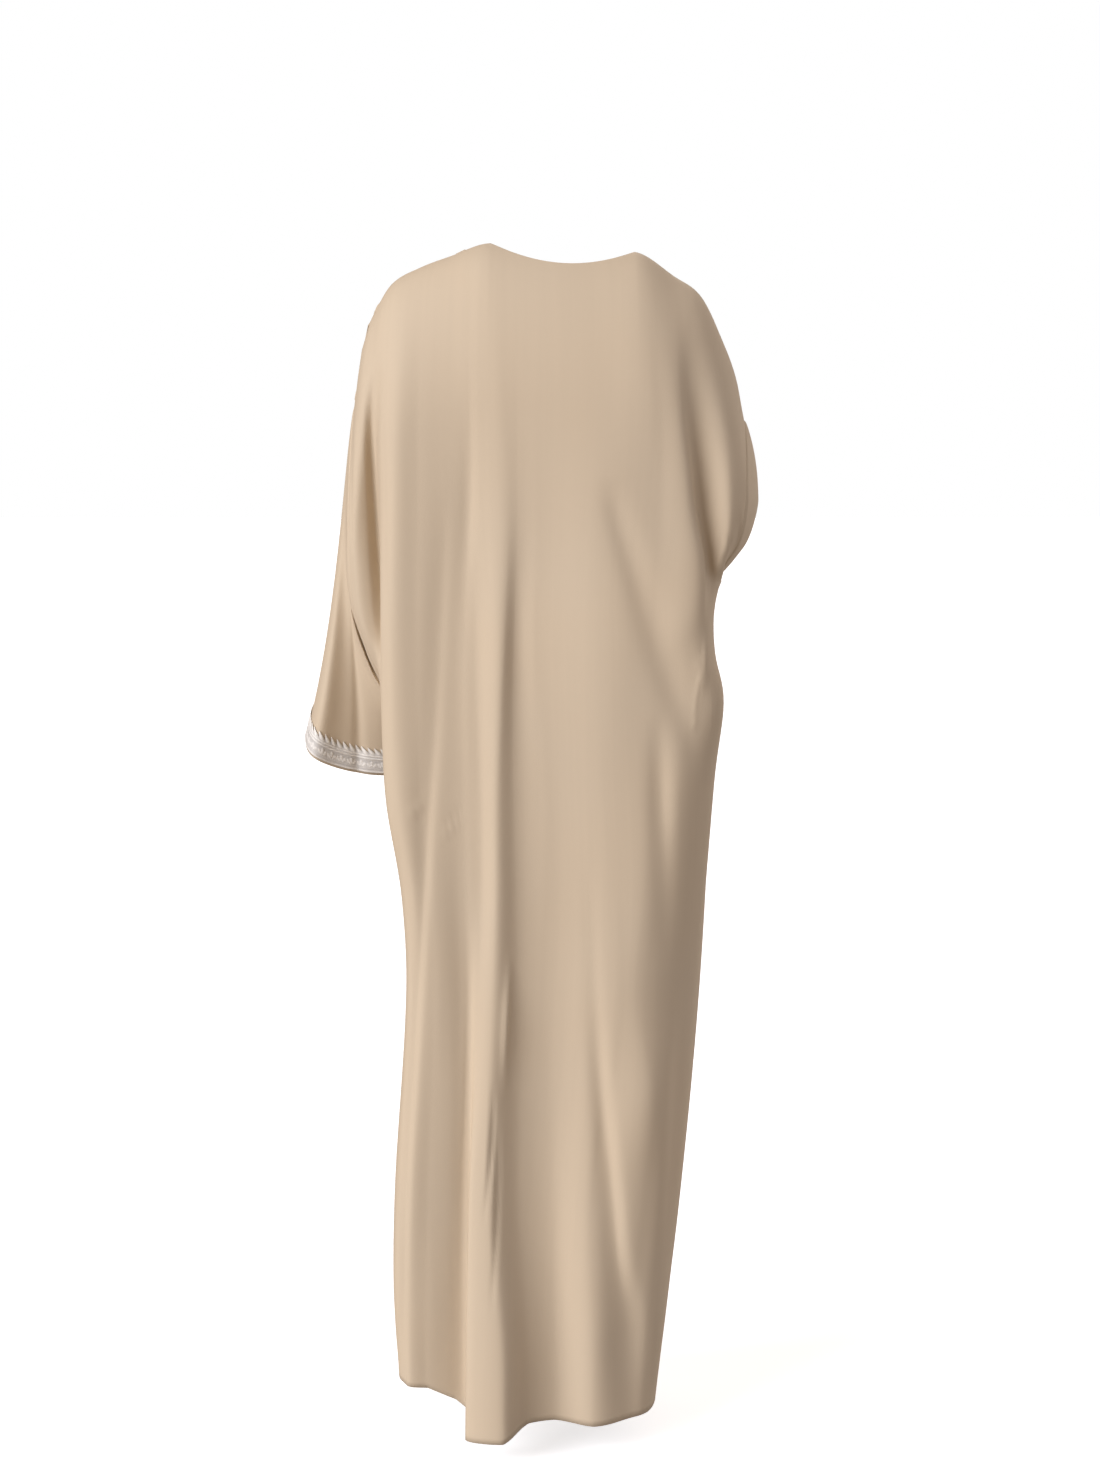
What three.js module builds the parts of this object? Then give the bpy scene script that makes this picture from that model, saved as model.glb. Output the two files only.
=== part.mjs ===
// An open kaftan in beige crepe, as it hangs on a walking wearer: one wide back whose cloth also covers
// the upper arms, two fronts that meet at plain edges, two sleeves set on at dropped armholes, and a
// band of lace round each cuff. Every piece is its own thin wall.
// Millimetres, +Z up. The front faces -Y and the wearer's left is +X. The origin is midway between the
// neck points, at the height of the shoulders.
import * as THREE from "three";

// ---- driving sizes ----
const WALL = 1.6; // crepe with its seam allowances
const SEAM_GAP = 0.3; // between two pieces at a seam, and under the lace
const CORNER_EASE = 1.8; // a sleeve's extra gap where three pieces meet, at the armhole's top and bottom
const LACE_WALL = 1.6;
const LACE_BAND = 36; // top of the lace above the cuff's edge
const LACE_INSET = 3; // cloth left showing below the lace
const NECK = { left: 88, right: -80, dip: 20 };
const BACK_ROLL = 190; // height over which the back curves up to the shoulder seam
const FRONT_ROLL = 220;
const ROLL_SQUARE = 2.4; // 2 would be a quarter of an ellipse
const LOW_ROWS = 13; // hem to underarm
const ARM_ROWS = 10; // underarm to shoulder
const SLEEVE_ROWS = 9;

// ---- the garment's outline: side seams, armholes and shoulder seams ----
// Side lines from the hem up to the armhole's top: x outwards, y forwards or back.
const LEFT_SIDE = [
  { z: -1330, x: 196, y: -70 },
  { z: -1292, x: 204, y: -67 },
  { z: -1227, x: 207, y: -62 },
  { z: -980, x: 196, y: -42 },
  { z: -809, x: 188, y: -24 },
  { z: -712, x: 198, y: -10 },
  { z: -600, x: 210, y: 0 },
  { z: -478, x: 214, y: -4 },
  { z: -438, x: 236, y: -10 },
  { z: -368, x: 257, y: -14 },
  { z: -283, x: 259, y: -14 },
  { z: -224, x: 256, y: -12 },
  { z: -150, x: 248, y: -8 },
];
const RIGHT_SIDE = [
  { z: -1362, x: -98, y: -84 },
  { z: -1320, x: -111, y: -78 },
  { z: -1230, x: -127, y: -66 },
  { z: -1032, x: -147, y: -44 },
  { z: -835, x: -162, y: -30 },
  { z: -593, x: -174, y: -18 },
  { z: -485, x: -182, y: -14 },
  { z: -400, x: -171, y: -14 },
  { z: -352, x: -174, y: -15 },
  { z: -332, x: -184, y: -16 },
  { z: -308, x: -203, y: -17 },
  { z: -270, x: -212, y: -18 },
  { z: -236, x: -213, y: -18 },
  { z: -166, x: -209, y: -18 },
];
// An armhole opens to the back and to the front of the side line between two heights.
const ARMHOLE = {
  left: { low: -478, high: -150, back: 56, front: 58 },
  right: { low: -352, high: -166, back: 66, front: 46 },
};
// Shoulder seams, from the right armhole to the right neck point and from the left one outwards.
const SHOULDER = [
  { x: -209, y: -18, z: -166 },
  { x: -200, y: -16, z: -120 },
  { x: -185, y: -13, z: -79 },
  { x: -158, y: -9, z: -24 },
  { x: -126, y: -5, z: 0 },
  { x: NECK.right, y: 0, z: 28 },
  { x: NECK.left, y: 0, z: 38 },
  { x: 135, y: -2, z: 23 },
  { x: 170, y: -3, z: 10 },
  { x: 202, y: -4, z: -8 },
  { x: 221, y: -5, z: -38 },
  { x: 237, y: -6, z: -79 },
  { x: 248, y: -8, z: -150 },
];
// How far the fronts stand before the middle, and how square they are there.
const FRONT_DEPTH = [
  { z: -1362, y: -205, square: 2.2 },
  { z: -1200, y: -190, square: 2.2 },
  { z: -1000, y: -172, square: 2.1 },
  { z: -800, y: -152, square: 1.8 },
  { z: -560, y: -132, square: 1.35 },
  { z: -350, y: -124, square: 1.5 },
  { z: -200, y: -122, square: 1.9 },
  { z: -60, y: -100, square: 2 },
  { z: 40, y: -60, square: 2 },
];
const SIDE_HEM = { left: -1300, right: -1340 };
const FRONT_HEM = -1354;
// The centre-front line, and half of the opening between the two front edges.
const OPENING = [
  { z: -1362, x: 44, half: 46 },
  { z: -1000, x: 26, half: 22 },
  { z: -600, x: 14, half: 8 },
  { z: -170, x: 4, half: 5 },
];
const NECKLINE_LOW = -170; // where the front edges start to curve up to the neck points

// ---- the largest folds: a ridge is high, a trough is low, lean tips its crest sideways ----
const BACK_FOLDS = {
  hipDrag: [
    { z: -220, x: -52, wide: 18, high: 0, lean: 0 },
    { z: -314, x: -72, wide: 18, high: -6, lean: 0 },
    { z: -429, x: -108, wide: 18, high: -7, lean: 0 },
    { z: -521, x: -138, wide: 17, high: -4, lean: 0 },
    { z: -600, x: -158, wide: 14, high: 0, lean: 0 },
  ],
  hipTrough: [
    { z: -500, x: -104, wide: 14, high: 0, lean: 0 },
    { z: -620, x: -104, wide: 13, high: -6, lean: 0 },
    { z: -784, x: -112, wide: 13, high: -4, lean: 0 },
    { z: -930, x: -118, wide: 14, high: 0, lean: 0 },
  ],
  kneePleat: [
    { z: -800, x: -28, wide: 12, high: 0, lean: 0 },
    { z: -1000, x: -44, wide: 13, high: -7, lean: 0 },
    { z: -1197, x: -66, wide: 15, high: -9, lean: 0 },
    { z: -1362, x: -84, wide: 15, high: -8, lean: 0 },
  ],
};
// On the fronts: soft folds that fall from the bust, and the hollows that the two arms press in.
const FRONT_FOLDS = {
  leftArmHollow: [
    { z: -260, x: 200, wide: 40, high: 0, lean: 0 },
    { z: -440, x: 190, wide: 46, high: -34, lean: 0 },
    { z: -570, x: 176, wide: 50, high: -52, lean: 0 },
    { z: -780, x: 170, wide: 40, high: 0, lean: 0 },
  ],
  rightArmHollow: [
    { z: -150, x: -180, wide: 38, high: 0, lean: 0 },
    { z: -300, x: -168, wide: 44, high: -44, lean: 0 },
    { z: -420, x: -164, wide: 40, high: -24, lean: 0 },
    { z: -560, x: -160, wide: 40, high: 0, lean: 0 },
  ],
  leftBustFold: [
    { z: -240, x: 96, wide: 22, high: 0, lean: 0 },
    { z: -700, x: 104, wide: 20, high: 12, lean: 0 },
    { z: -1362, x: 128, wide: 24, high: 34, lean: 6 },
  ],
  leftSideTrough: [
    { z: -640, x: 140, wide: 18, high: 0, lean: 0 },
    { z: -1000, x: 150, wide: 18, high: -14, lean: 0 },
    { z: -1362, x: 168, wide: 20, high: -26, lean: 0 },
  ],
  rightBustFold: [
    { z: -260, x: -84, wide: 22, high: 0, lean: 0 },
    { z: -760, x: -86, wide: 20, high: 13, lean: 0 },
    { z: -1362, x: -52, wide: 22, high: 30, lean: -6 },
  ],
  rightSideTrough: [
    { z: -620, x: -120, wide: 17, high: 0, lean: 0 },
    { z: -1000, x: -112, wide: 17, high: -12, lean: 0 },
    { z: -1362, x: -80, wide: 16, high: -20, lean: 0 },
  ],
};

// Lines up the back that its columns follow, and where they stand behind the middle: the cloth passes
// smoothly through them. Each has the number of columns up to the next line and its height at the hem.
// The line at each neck point starts the shoulder seam, and the fronts have the same columns from there.
const BACK_LINES = [
  // right seam
  { count: 3, hem: SIDE_HEM.right, path: RIGHT_SIDE },
  // right upper arm
  {
    count: 2,
    hem: -1350,
    path: [
      { z: -1362, x: -109, y: -34 },
      { z: -1254, x: -121, y: -20 },
      { z: -1073, x: -136, y: -2 },
      { z: -836, x: -153, y: 12 },
      { z: -601, x: -166, y: 34 },
      { z: -430, x: -170, y: 56 },
      { z: -360, x: -170, y: 40 },
      { z: -330, x: -174, y: 52 },
      { z: -300, x: -180, y: 61 },
      { z: -236, x: -180, y: 67 },
      { z: -166, x: -174, y: 69 },
      { z: -79, x: -178, y: 66 },
    ],
  },
  // groove beside the right arm
  {
    count: 2,
    hem: -1356,
    path: [
      { z: -1362, x: -104, y: 6 },
      { z: -1254, x: -114, y: 14 },
      { z: -1073, x: -125, y: 22 },
      { z: -836, x: -137, y: 38 },
      { z: -601, x: -147, y: 66 },
      { z: -460, x: -160, y: 86 },
      { z: -400, x: -161, y: 64 },
      { z: -360, x: -160, y: 46 },
      { z: -328, x: -158, y: 42 },
      { z: -270, x: -152, y: 45 },
      { z: -224, x: -147, y: 50 },
      { z: -166, x: -141, y: 60 },
      { z: -100, x: -140, y: 74 },
      { z: -15, x: -146, y: 84 },
    ],
  },
  // edge of the back beside it
  {
    count: 3,
    hem: -1358,
    path: [
      { z: -1362, x: -92, y: 30 },
      { z: -1254, x: -97, y: 35 },
      { z: -1073, x: -112, y: 40 },
      { z: -836, x: -122, y: 58 },
      { z: -601, x: -128, y: 87 },
      { z: -460, x: -150, y: 98 },
      { z: -395, x: -156, y: 98 },
      { z: -328, x: -153, y: 102 },
      { z: -270, x: -146, y: 105 },
      { z: -224, x: -140, y: 105 },
      { z: -166, x: -134, y: 102 },
      { z: -10, x: -118, y: 92 },
    ],
  },
  // right shoulder blade, and the walking leg below
  {
    count: 4,
    hem: -1359,
    path: [
      { z: -1362, x: -78, y: 42 },
      { z: -1254, x: -78, y: 45 },
      { z: -1073, x: -90, y: 53 },
      { z: -836, x: -104, y: 70 },
      { z: -601, x: -98, y: 97 },
      { z: -428, x: -100, y: 111 },
      { z: -279, x: -104, y: 107 },
      { z: -143, x: -104, y: 106 },
      { z: 0, x: NECK.right, y: 98 },
    ],
  },
  // right hip and calf
  {
    count: 3,
    hem: -1361,
    path: [
      { z: -1362, x: -34, y: 62 },
      { z: -1254, x: -34, y: 65 },
      { z: -1073, x: -30, y: 66 },
      { z: -836, x: -66, y: 81 },
      { z: -601, x: -50, y: 99 },
      { z: -428, x: -52, y: 116 },
      { z: -279, x: -40, y: 114 },
      { z: -143, x: -40, y: 110 },
      { z: 0, x: -34, y: 100 },
    ],
  },
  // spine
  {
    count: 2,
    hem: -1357,
    path: [
      { z: -1362, x: 14, y: 48 },
      { z: -1254, x: 15, y: 52 },
      { z: -1073, x: 18, y: 55 },
      { z: -836, x: 26, y: 70 },
      { z: -601, x: 20, y: 90 },
      { z: -428, x: 34, y: 102 },
      { z: -279, x: 30, y: 107 },
      { z: -143, x: 34, y: 108 },
      { z: 0, x: 32, y: 101 },
    ],
  },
  // valley beside the main fold
  {
    count: 3,
    hem: -1360,
    path: [
      { z: -1362, x: 44, y: 58 },
      { z: -1254, x: 45, y: 62 },
      { z: -1073, x: 54, y: 62 },
      { z: -836, x: 54, y: 74 },
      { z: -718, x: 57, y: 83 },
      { z: -601, x: 60, y: 91 },
      { z: -509, x: 61, y: 96 },
      { z: -428, x: 60, y: 100 },
      { z: -279, x: 55, y: 106 },
      { z: -143, x: 56, y: 107 },
      { z: 0, x: 58, y: 100 },
    ],
  },
  // crest of the main fold
  {
    count: 3,
    hem: -1372,
    path: [
      { z: -1362, x: 74, y: 93 },
      { z: -1254, x: 76, y: 92 },
      { z: -1073, x: 94, y: 86 },
      { z: -954, x: 92, y: 87 },
      { z: -836, x: 85, y: 89 },
      { z: -718, x: 81, y: 95 },
      { z: -601, x: 80, y: 101 },
      { z: -509, x: 76, y: 105 },
      { z: -428, x: 72, y: 108 },
      { z: -279, x: 68, y: 108 },
      { z: -143, x: 76, y: 107 },
      { z: 0, x: NECK.left, y: 98 },
    ],
  },
  // outer edge of the main fold
  {
    count: 2,
    hem: -1372,
    path: [
      { z: -1362, x: 122, y: 72 },
      { z: -1254, x: 120, y: 73 },
      { z: -1073, x: 115, y: 74 },
      { z: -954, x: 109, y: 77 },
      { z: -836, x: 105, y: 80 },
      { z: -718, x: 98, y: 87 },
      { z: -601, x: 98, y: 94 },
      { z: -428, x: 106, y: 97 },
      { z: -279, x: 106, y: 99 },
      { z: -143, x: 104, y: 103 },
      { z: 0, x: 104, y: 96 },
    ],
  },
  // foot of the main fold
  {
    count: 2,
    hem: -1330,
    path: [
      { z: -1362, x: 131, y: 55 },
      { z: -1254, x: 131, y: 58 },
      { z: -1073, x: 128, y: 67 },
      { z: -954, x: 123, y: 73 },
      { z: -836, x: 121, y: 77 },
      { z: -601, x: 126, y: 90 },
      { z: -428, x: 128, y: 94 },
      { z: -279, x: 123, y: 97 },
      { z: -143, x: 124, y: 100 },
      { z: 0, x: 124, y: 93 },
    ],
  },
  // middle of the left panel
  {
    count: 2,
    hem: -1314,
    path: [
      { z: -1362, x: 164, y: 57 },
      { z: -1254, x: 164, y: 62 },
      { z: -1073, x: 161, y: 71 },
      { z: -836, x: 152, y: 82 },
      { z: -720, x: 156, y: 89 },
      { z: -601, x: 166, y: 94 },
      { z: -428, x: 170, y: 98 },
      { z: -279, x: 168, y: 99 },
      { z: -143, x: 166, y: 97 },
      { z: 0, x: 160, y: 86 },
    ],
  },
  // outer part of the left panel
  {
    count: 1,
    hem: -1312,
    path: [
      { z: -1362, x: 184, y: 56 },
      { z: -1300, x: 189, y: 60 },
      { z: -1200, x: 192, y: 64 },
      { z: -1073, x: 187, y: 72 },
      { z: -836, x: 173, y: 80 },
      { z: -720, x: 178, y: 87 },
      { z: -601, x: 197, y: 93 },
      { z: -428, x: 203, y: 97 },
      { z: -279, x: 200, y: 98 },
      { z: -143, x: 196, y: 95 },
      { z: -4, x: 188, y: 80 },
    ],
  },
  // edge of the left panel
  {
    count: 2,
    hem: -1309,
    path: [
      { z: -1362, x: 190, y: 46 },
      { z: -1300, x: 197, y: 50 },
      { z: -1200, x: 201, y: 56 },
      { z: -1073, x: 197, y: 63 },
      { z: -836, x: 183, y: 72 },
      { z: -720, x: 187, y: 79 },
      { z: -601, x: 206, y: 85 },
      { z: -428, x: 212, y: 88 },
      { z: -279, x: 210, y: 87 },
      { z: -143, x: 209, y: 86 },
      { z: -10, x: 202, y: 76 },
    ],
  },
  // groove beside the left arm
  {
    count: 2,
    hem: -1304,
    path: [
      { z: -1300, x: 201, y: 24 },
      { z: -1200, x: 206, y: 30 },
      { z: -1073, x: 203, y: 40 },
      { z: -836, x: 188, y: 50 },
      { z: -720, x: 193, y: 54 },
      { z: -601, x: 211, y: 58 },
      { z: -478, x: 216, y: 52 },
      { z: -387, x: 216, y: 46 },
      { z: -352, x: 219, y: 44 },
      { z: -317, x: 223, y: 44 },
      { z: -260, x: 228, y: 46 },
      { z: -200, x: 230, y: 52 },
      { z: -143, x: 228, y: 64 },
      { z: -86, x: 222, y: 76 },
      { z: -20, x: 214, y: 74 },
    ],
  },
  // left upper arm
  {
    count: 2,
    hem: -1300,
    path: [
      { z: -1300, x: 203, y: -20 },
      { z: -1200, x: 208, y: -12 },
      { z: -1073, x: 205, y: -2 },
      { z: -836, x: 189, y: 10 },
      { z: -720, x: 195, y: 16 },
      { z: -601, x: 212, y: 22 },
      { z: -478, x: 217, y: 20 },
      { z: -428, x: 230, y: 42 },
      { z: -387, x: 238, y: 51 },
      { z: -317, x: 244, y: 57 },
      { z: -260, x: 245, y: 60 },
      { z: -200, x: 243, y: 63 },
      { z: -143, x: 239, y: 66 },
      { z: -60, x: 229, y: 66 },
    ],
  },
  // left seam
  { count: 0, hem: SIDE_HEM.left, path: LEFT_SIDE },
];
const NECK_LINE = { right: 4, left: 8 }; // which of those lines meet the neck points

// ---- sleeves: a hoop midway that the tube leans towards, and the cuff's hoop. An out vector runs from
// the centre to the arm's outer side and a back vector to its rear side, which is dented forwards. ----
const SLEEVES = {
  left: {
    middle: { centre: [236, -44, -450], out: [32, 0, 62], back: [0, 58, -4] },
    cuff: { centre: [243, -90, -560], out: [72, 0, 10], back: [-4, 68, -30] },
    dent: 26,
  },
  right: {
    middle: { centre: [-210, -138, -264], out: [-12, 0, 68], back: [-38, 30, 0] },
    cuff: { centre: [-132, -256, -286], out: [-8, -8, 70], back: [-56, 26, 0] },
    dent: 6,
  },
};

// How a sleeve leaves its seam: shares outwards, forwards and down, and how they turn round the seam.
const FOLDED = 0.5; // where a sleeve folds back more sharply than this at its seam, it keeps its own facing
const LEAVE = { out: 0.7, forward: 0.9, down: 0.5, turn: 0.6, reach: 26, endReach: 10, lead: 0.12 };
const DENT = { angle: 1.4, width: 0.55 }; // where round the arm the rear is dented, from its outer side

const BEIGE = "#c9b49b";
const LACE = "#cfc9be";

// ---- small tools ----
const mix = (a, b, t) => a + (b - a) * t;

/** A table column at a place: a smooth curve through the rows that holds its end values. */
function along(rows, place, at, value) {
  const ordered = rows[0][place] < rows[rows.length - 1][place] ? rows : [...rows].reverse();
  const p = ordered.map((row) => row[place]);
  const v = ordered.map((row) => row[value]);
  const last = p.length - 1;
  if (at <= p[0]) return v[0];
  if (at >= p[last]) return v[last];
  const i = p.findIndex((from, k) => at >= from && at < p[k + 1]);
  const slope = (k) => {
    const [a, b] = [Math.max(k - 1, 0), Math.min(k + 1, last)];
    return (v[b] - v[a]) / (p[b] - p[a]);
  };
  const span = p[i + 1] - p[i];
  const t = (at - p[i]) / span;
  const [t2, t3] = [t * t, t * t * t];
  return (
    v[i] * (2 * t3 - 3 * t2 + 1) +
    v[i + 1] * (3 * t2 - 2 * t3) +
    span * slope(i) * (t3 - 2 * t2 + t) +
    span * slope(i + 1) * (t3 - t2)
  );
}

const sideOf = (x) => (x > 0 ? "left" : "right");
const sideRows = { left: LEFT_SIDE, right: RIGHT_SIDE };

/** How far an armhole's edge stands behind (face 1) or before (face -1) the side line. */
function armholeReach(side, face, z) {
  const { low, high, back, front } = ARMHOLE[side];
  const t = THREE.MathUtils.clamp((z - low) / (high - low), 0, 1);
  return Math.sqrt(Math.sin(Math.PI * t)) * (face > 0 ? back : -front);
}

/** A place on the line over the shoulders: along both shoulder seams and straight across the neck. */
function ridge(x) {
  if (x >= NECK.left || x <= NECK.right) {
    return { y: along(SHOULDER, "x", x, "y"), z: along(SHOULDER, "x", x, "z") };
  }
  const ends = [NECK.right, NECK.left].map((end) => along(SHOULDER, "x", end, "z"));
  return { y: 0, z: mix(...ends, (x - NECK.right) / (NECK.left - NECK.right)) };
}

/** Height of the cloth's top end: on the shoulder seams, and at the back below the neck by a bow. */
function topHeight(face, x) {
  const t = THREE.MathUtils.clamp((2 * x - NECK.left - NECK.right) / (NECK.left - NECK.right), -1, 1);
  return ridge(x).z - (face > 0 ? NECK.dip * (1 - t * t) : 0);
}

/** A point of the body at depth y. Its column rolls over to the shoulder line, then moves by the folds. */
function bodyPoint(face, columnTop, x, y, z) {
  const [right, left] = ["right", "left"].map((side) => along(sideRows[side], "z", z, "x"));
  const across = THREE.MathUtils.clamp((2 * x - right - left) / (left - right), -1, 1);
  const top = ridge(x);
  const roll = face > 0 ? BACK_ROLL : FRONT_ROLL;
  const rise = THREE.MathUtils.clamp((Math.max(top.z, columnTop) - z) / roll, 0, 1);
  const rolled = top.y + (y - top.y) * (1 - (1 - rise) ** ROLL_SQUARE) ** (1 / ROLL_SQUARE);

  let [high, lean] = [0, 0];
  for (const rows of Object.values(face > 0 ? BACK_FOLDS : FRONT_FOLDS)) {
    const away = (x - along(rows, "z", z, "x")) / along(rows, "z", z, "wide");
    const bell = Math.exp(-away * away);
    high += bell * along(rows, "z", z, "high");
    lean += bell * along(rows, "z", z, "lean");
  }
  const still = (1 - across ** 12) * Math.min(rise * 6, 1);
  const turn = (Math.PI / 2) * across * Math.abs(across) ** 3;
  return new THREE.Vector3(
    x + still * (high * Math.sin(turn) + lean),
    rolled + still * face * high * Math.cos(turn),
    z,
  );
}

/** Depth of the fronts: a squarish oval from side line to side line. */
function frontDepth(x, z) {
  const [right, left] = ["right", "left"].map((side) => along(sideRows[side], "z", z, "x"));
  const across = THREE.MathUtils.clamp((2 * x - right - left) / (left - right), -1, 1);
  const edge = mix(along(RIGHT_SIDE, "z", z, "y"), along(LEFT_SIDE, "z", z, "y"), (across + 1) / 2);
  const square = along(FRONT_DEPTH, "z", z, "square");
  const reach = armholeReach(across > 0 ? "left" : "right", -1, z) * Math.abs(across) ** 6;
  const full = along(FRONT_DEPTH, "z", z, "y") - edge - reach;
  return reach + edge + full * (1 - Math.abs(across) ** square) ** (1 / square);
}

// ---- grids of points: rows run up from the hem, and columns run round the wearer from the right side
// over the back to the left side, and on over the fronts ----
const rowAt = (row) => {
  if (row <= LOW_ROWS) return { part: "low", t: row / LOW_ROWS };
  return { part: "arm", t: (1 - Math.cos((Math.PI * (row - LOW_ROWS)) / ARM_ROWS)) / 2 };
};
const ROWS = LOW_ROWS + ARM_ROWS;

/** The height of a row where a column ends at the top at z = high and at the hem at z = hem. */
function rowHeight(row, x, hem, high) {
  const across = THREE.MathUtils.clamp((x - NECK.right) / (NECK.left - NECK.right), 0, 1);
  const underarm = mix(ARMHOLE.right.low, ARMHOLE.left.low, across);
  const { part, t } = rowAt(row);
  return part === "low" ? mix(hem, underarm, t) : mix(underarm, high, t);
}

/** The columns of the back: the line each follows, how far it is to the next, and its x at the top. */
const backColumns = BACK_LINES.flatMap(({ count }, line) => {
  if (line === BACK_LINES.length - 1) return [{ line: line - 1, t: 1 }];
  return Array.from({ length: count }, (_, k) => {
    const even = k / count;
    if (line === 0) return { line, t: 1 - Math.cos((Math.PI / 2) * even) };
    if (line === BACK_LINES.length - 2) return { line, t: Math.sin((Math.PI / 2) * even) };
    return { line, t: even };
  });
});

/** Where a line of the back stands at a height. The first and the last are the armholes' and side seams. */
function knot(line, z) {
  const { path } = BACK_LINES[line];
  const seam = { 0: "right", [BACK_LINES.length - 1]: "left" }[line];
  const y = along(path, "z", z, "y") + (seam ? armholeReach(seam, 1, z) : 0);
  return new THREE.Vector2(along(path, "z", z, "x"), y);
}

/** Direction of the back's cubic curve at a line: its chords, each weighed by the other's length. */
function turnAt(line, z) {
  const here = knot(line, z);
  const before = line > 0 ? here.clone().sub(knot(line - 1, z)) : null;
  const after = line < BACK_LINES.length - 1 ? knot(line + 1, z).sub(here) : null;
  if (!before || !after) return (before ?? after).normalize();
  const [a, b] = [before.length(), after.length()];
  return before.multiplyScalar(b / a).addScaledVector(after, a / b).divideScalar(a + b);
}

/** A column's place on the back's form: a cubic curve through the lines at each height. */
function formAt({ line, t }, z) {
  const [start, end] = [knot(line, z), knot(line + 1, z)];
  const chord = start.distanceTo(end);
  const [t2, t3] = [t * t, t * t * t];
  return start
    .multiplyScalar(2 * t3 - 3 * t2 + 1)
    .addScaledVector(end, 3 * t2 - 2 * t3)
    .addScaledVector(turnAt(line, z), chord * (t3 - 2 * t2 + t))
    .addScaledVector(turnAt(line + 1, z), chord * (t3 - t2));
}
for (const column of backColumns) column.top = formAt(column, 1000).x;

const topWeight = (row) => (row / ROWS) ** 8;

function backGrid() {
  return Array.from({ length: ROWS + 1 }, (_, row) =>
    backColumns.map((column) => {
      const high = topHeight(1, column.top);
      const hem = mix(BACK_LINES[column.line].hem, BACK_LINES[column.line + 1].hem, column.t);
      const z = rowHeight(row, column.top, hem, high);
      const { x, y } = formAt(column, z);
      const moved = x + (column.top - formAt(column, high).x) * topWeight(row);
      return bodyPoint(1, high, moved, y, z);
    }),
  );
}

/** The free front edge of one side: beside the centre line, then curving up to the neck point. */
function frontEdge(side, z) {
  const sign = side === "left" ? 1 : -1;
  const low = along(OPENING, "z", z, "x") + sign * along(OPENING, "z", z, "half");
  const neck = along(SHOULDER, "x", NECK[side], "z");
  const t = THREE.MathUtils.clamp((z - NECKLINE_LOW) / (neck - NECKLINE_LOW), 0, 1);
  return mix(low, NECK[side], t ** 1.7);
}

function frontGrid(side) {
  const neckColumn = backColumns.findIndex(({ line, t }) => line === NECK_LINE[side] && t === 0);
  const shoulder = side === "left" ? backColumns.slice(neckColumn).reverse() : [];
  if (side === "right") shoulder.push(...backColumns.slice(0, neckColumn + 1));
  const count = shoulder.length - 1;
  const grid = Array.from({ length: ROWS + 1 }, (_, row) =>
    shoulder.map((column, k) => {
      const high = topHeight(-1, column.top);
      const even = (k / count) ** 1.3;
      const hem = mix(SIDE_HEM[side], FRONT_HEM, even ** 0.6);
      const z = rowHeight(row, side === "left" ? NECK.left : NECK.right, hem, high);
      const spread = (height) =>
        mix(along(sideRows[side], "z", height, "x"), frontEdge(side, height), even);
      const x = spread(z) + (column.top - spread(high)) * topWeight(row);
      return bodyPoint(-1, high, x, frontDepth(x, z), z);
    }),
  );
  return side === "left" ? grid : grid.map((row) => row.reverse());
}

/** A point of a sleeve's hoop: an oval, dented forwards at the rear. */
const hoopPoint = ({ centre, out, back }, dent, angle) =>
  new THREE.Vector3(...centre)
    .addScaledVector(new THREE.Vector3(...out), Math.cos(angle))
    .addScaledVector(new THREE.Vector3(...back), Math.sin(angle))
    .add(new THREE.Vector3(0, -dent * Math.exp(-(((angle - DENT.angle) / DENT.width) ** 2)), 0));

/** How a sleeve leaves its armhole: forwards from the rear, outwards from the front, down at the ends. */
function leaving(side, angle) {
  const [rear, end] = [Math.sin(angle), Math.abs(Math.cos(angle))];
  const outwards = (side === "left" ? 1 : -1) * (LEAVE.out - LEAVE.turn * rear);
  const forwards = -LEAVE.forward * (rear > 0 ? rear : -rear / 2);
  const reach = mix(LEAVE.reach, LEAVE.endReach, end);
  return new THREE.Vector3(outwards, forwards, -LEAVE.down * end).setLength(reach);
}

/** A sleeve: each line leaves the armhole, leans towards the middle hoop and ends on the cuff's. */
function sleeveGrid(side, back, front) {
  const pick = (grid, first) => grid.slice(LOW_ROWS).map((row) => row[first ? 0 : row.length - 1]);
  const rear = pick(back, side === "right");
  const fore = pick(front, side === "left");
  const loop = [...rear.slice(0, -1), ...fore.slice(1).reverse()];
  const lines = loop.map((start, k) => {
    const angle = Math.PI * (1 - k / ARM_ROWS);
    const middle = hoopPoint(SLEEVES[side].middle, SLEEVES[side].dent, angle);
    const cuff = hoopPoint(SLEEVES[side].cuff, SLEEVES[side].dent, angle);
    const first = start.clone().lerp(middle, LEAVE.lead).add(leaving(side, angle));
    const reach = 3 * middle.distanceTo(cuff);
    const [band, inset] = [1 - LACE_BAND / reach, 1 - LACE_INSET / reach];
    const steps = Array.from({ length: SLEEVE_ROWS }, (_, row) => (band * row) / (SLEEVE_ROWS - 1));
    return [...steps, (band + inset) / 2, inset, 1].map((t) =>
      new THREE.Vector3()
        .addScaledVector(start, (1 - t) ** 3)
        .addScaledVector(first, 3 * t * (1 - t) ** 2)
        .addScaledVector(middle, 3 * t * t * (1 - t))
        .addScaledVector(cuff, t ** 3),
    );
  });
  if (side === "left") lines.push(...lines.splice(1).reverse());
  return lines[0].map((_, row) => lines.map((line) => line[row]));
}

// ---- from grids to walls ----
const at = (grid, row, col, round) => {
  const cols = grid[0].length;
  return grid[row][round ? (col + cols) % cols : col];
};
const keyOf = (p) => p.toArray().map((v) => Math.round(v * 50)).join();

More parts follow.
